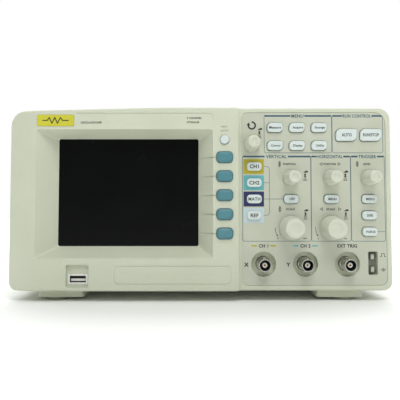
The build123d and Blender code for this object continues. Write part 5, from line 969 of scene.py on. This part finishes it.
display_face = -53.5 * MM
title = bmesh.new()
draw_text(title, "OSCILLOSCOPE", -86.0, 140.6, 1.6, widest=26.0)
draw_text(title, "2 CHANNEL", -4.6, 144.2, 1.5)
draw_text(title, "STORAGE", -5.6, 140.8, 1.5)
stand_up("title_print", title, display_face, INKS["black"], "root")
# the MENU ON/OFF caption is embossed; its letters are drawn in the pale grey film as painted shade
caption = bmesh.new()
draw_text(caption, "MENU", 19.2, 137.4, 1.2)
draw_text(caption, "ON/OFF", 19.2, 134.2, 1.2)
stand_up("caption_print", caption, display_face, INKS["faint"], "root")

# %% [markdown]
# ## Names at the rear
# The sockets at the rear are named in small capitals above them. The drawing is the same, only
# turned to face the other way.

# %% Rear names
REAR_FACE = 63.5
REAR_NAME_Z = 54.0
REAR_NAMES = {"OUTPUT": REAR_JACK_X, "SERIAL": SERIAL_X, "DEVICE": DEVICE_X, "AC INPUT": INLET_X}
rear_names = bmesh.new()
for words, x in REAR_NAMES.items():
    draw_text(rear_names, words, -x, REAR_NAME_Z, 2.4)
about = Matrix.Rotation(math.pi, 4, "Z")
place = about @ Matrix.Translation((0, -REAR_FACE * MM, 0)) @ TO_FRONT @ Matrix.Scale(MM, 4)
bmesh.ops.transform(rear_names, matrix=place, verts=rear_names.verts)
finish_piece("rear_names", rear_names, INKS["black"], "root", smooth=False)

# %% [markdown]
# ## Floor, light and camera
# A bench product is shot on white: one soft light above and in front, a weaker one from the right
# to open the shadows, a wide one over the floor behind, and a white room all round. The floor is
# a sheet large enough to have no visible edge.

# %% Floor
white_floor, tree, shader = material("paper_seamless_white")
where = add(tree, "ShaderNodeTexCoord").outputs["Object"]
fibre = add(tree, "ShaderNodeTexNoise", {"Vector": where, "Scale": 1 / (1.5 * MM), "Detail": 3.0})
paper = add(
    tree,
    "ShaderNodeMix",
    {"Factor": fibre.outputs["Fac"], "A": colour("#f4f6f3"), "B": colour("#fbfcfa")},
    data_type="RGBA",
)
tree.links.new(paper.outputs["Result"], shader.inputs["Base Color"])
shader.inputs["Roughness"].default_value = 0.8
ground = bmesh.new()
bmesh.ops.create_grid(ground, x_segments=4, y_segments=4, size=2.6)
floor_mesh = bpy.data.meshes.new("floor")
ground.to_mesh(floor_mesh)
ground.free()
floor_mesh.materials.append(white_floor)
floor = bpy.data.objects.new("floor", floor_mesh)
bpy.context.scene.collection.objects.link(floor)

# %% Light
ROOM_DIM = 0.36
room = bpy.data.worlds.new("white_room")
room.use_nodes = True
sky = room.node_tree
toward = add(sky, "ShaderNodeTexCoord").outputs["Generated"]
side = add(sky, "ShaderNodeSeparateXYZ", {"Vector": toward})
behind = add(
    sky,
    "ShaderNodeMapRange",
    {"Value": side.outputs["Y"], "From Min": -0.5, "From Max": 0.3, "To Min": ROOM_DIM, "To Max": 1.0},
    interpolation_type="SMOOTHSTEP",
)
sky.links.new(behind.outputs["Result"], sky.nodes["Background"].inputs["Strength"])
sky.nodes["Background"].inputs["Color"].default_value = colour("#ffffff")
bpy.context.scene.world = room
bpy.context.scene.view_settings.view_transform = "Standard"


def soft_light(name, place, aim, size, watts):
    """A square soft box at place, pointed at aim."""
    lamp = bpy.data.lights.new(name, "AREA")
    lamp.shape = "SQUARE"
    lamp.size = size
    lamp.energy = watts
    stand = bpy.data.objects.new(name, lamp)
    stand.location = place
    stand.rotation_euler = (Vector(aim) - Vector(place)).to_track_quat("-Z", "Y").to_euler()
    bpy.context.scene.collection.objects.link(stand)
    return stand


soft_light("light_above", (0.08, -0.58, 0.88), (0, 0, 0.07), 0.4, 4.1)
soft_light("light_right", (0.8, -0.9, 0.6), (0, 0, 0.08), 0.7, 0.9)
soft_light("light_floor", (0, 1.5, 1.4), (0, 1.5, 0), 2.6, 34.0)

# %% Camera
lens = bpy.data.cameras.new("camera")
lens.lens = 42.76
lens.sensor_width = 36.0
lens.shift_y = -0.04
lens.clip_start = 0.01
camera = bpy.data.objects.new("camera", lens)
camera.location = (-0.0001, -0.4259, 0.0751)
camera.rotation_euler = (math.radians(90 + 2.6), 0, 0)
bpy.context.scene.collection.objects.link(camera)
bpy.context.scene.camera = camera
print("stage ready")
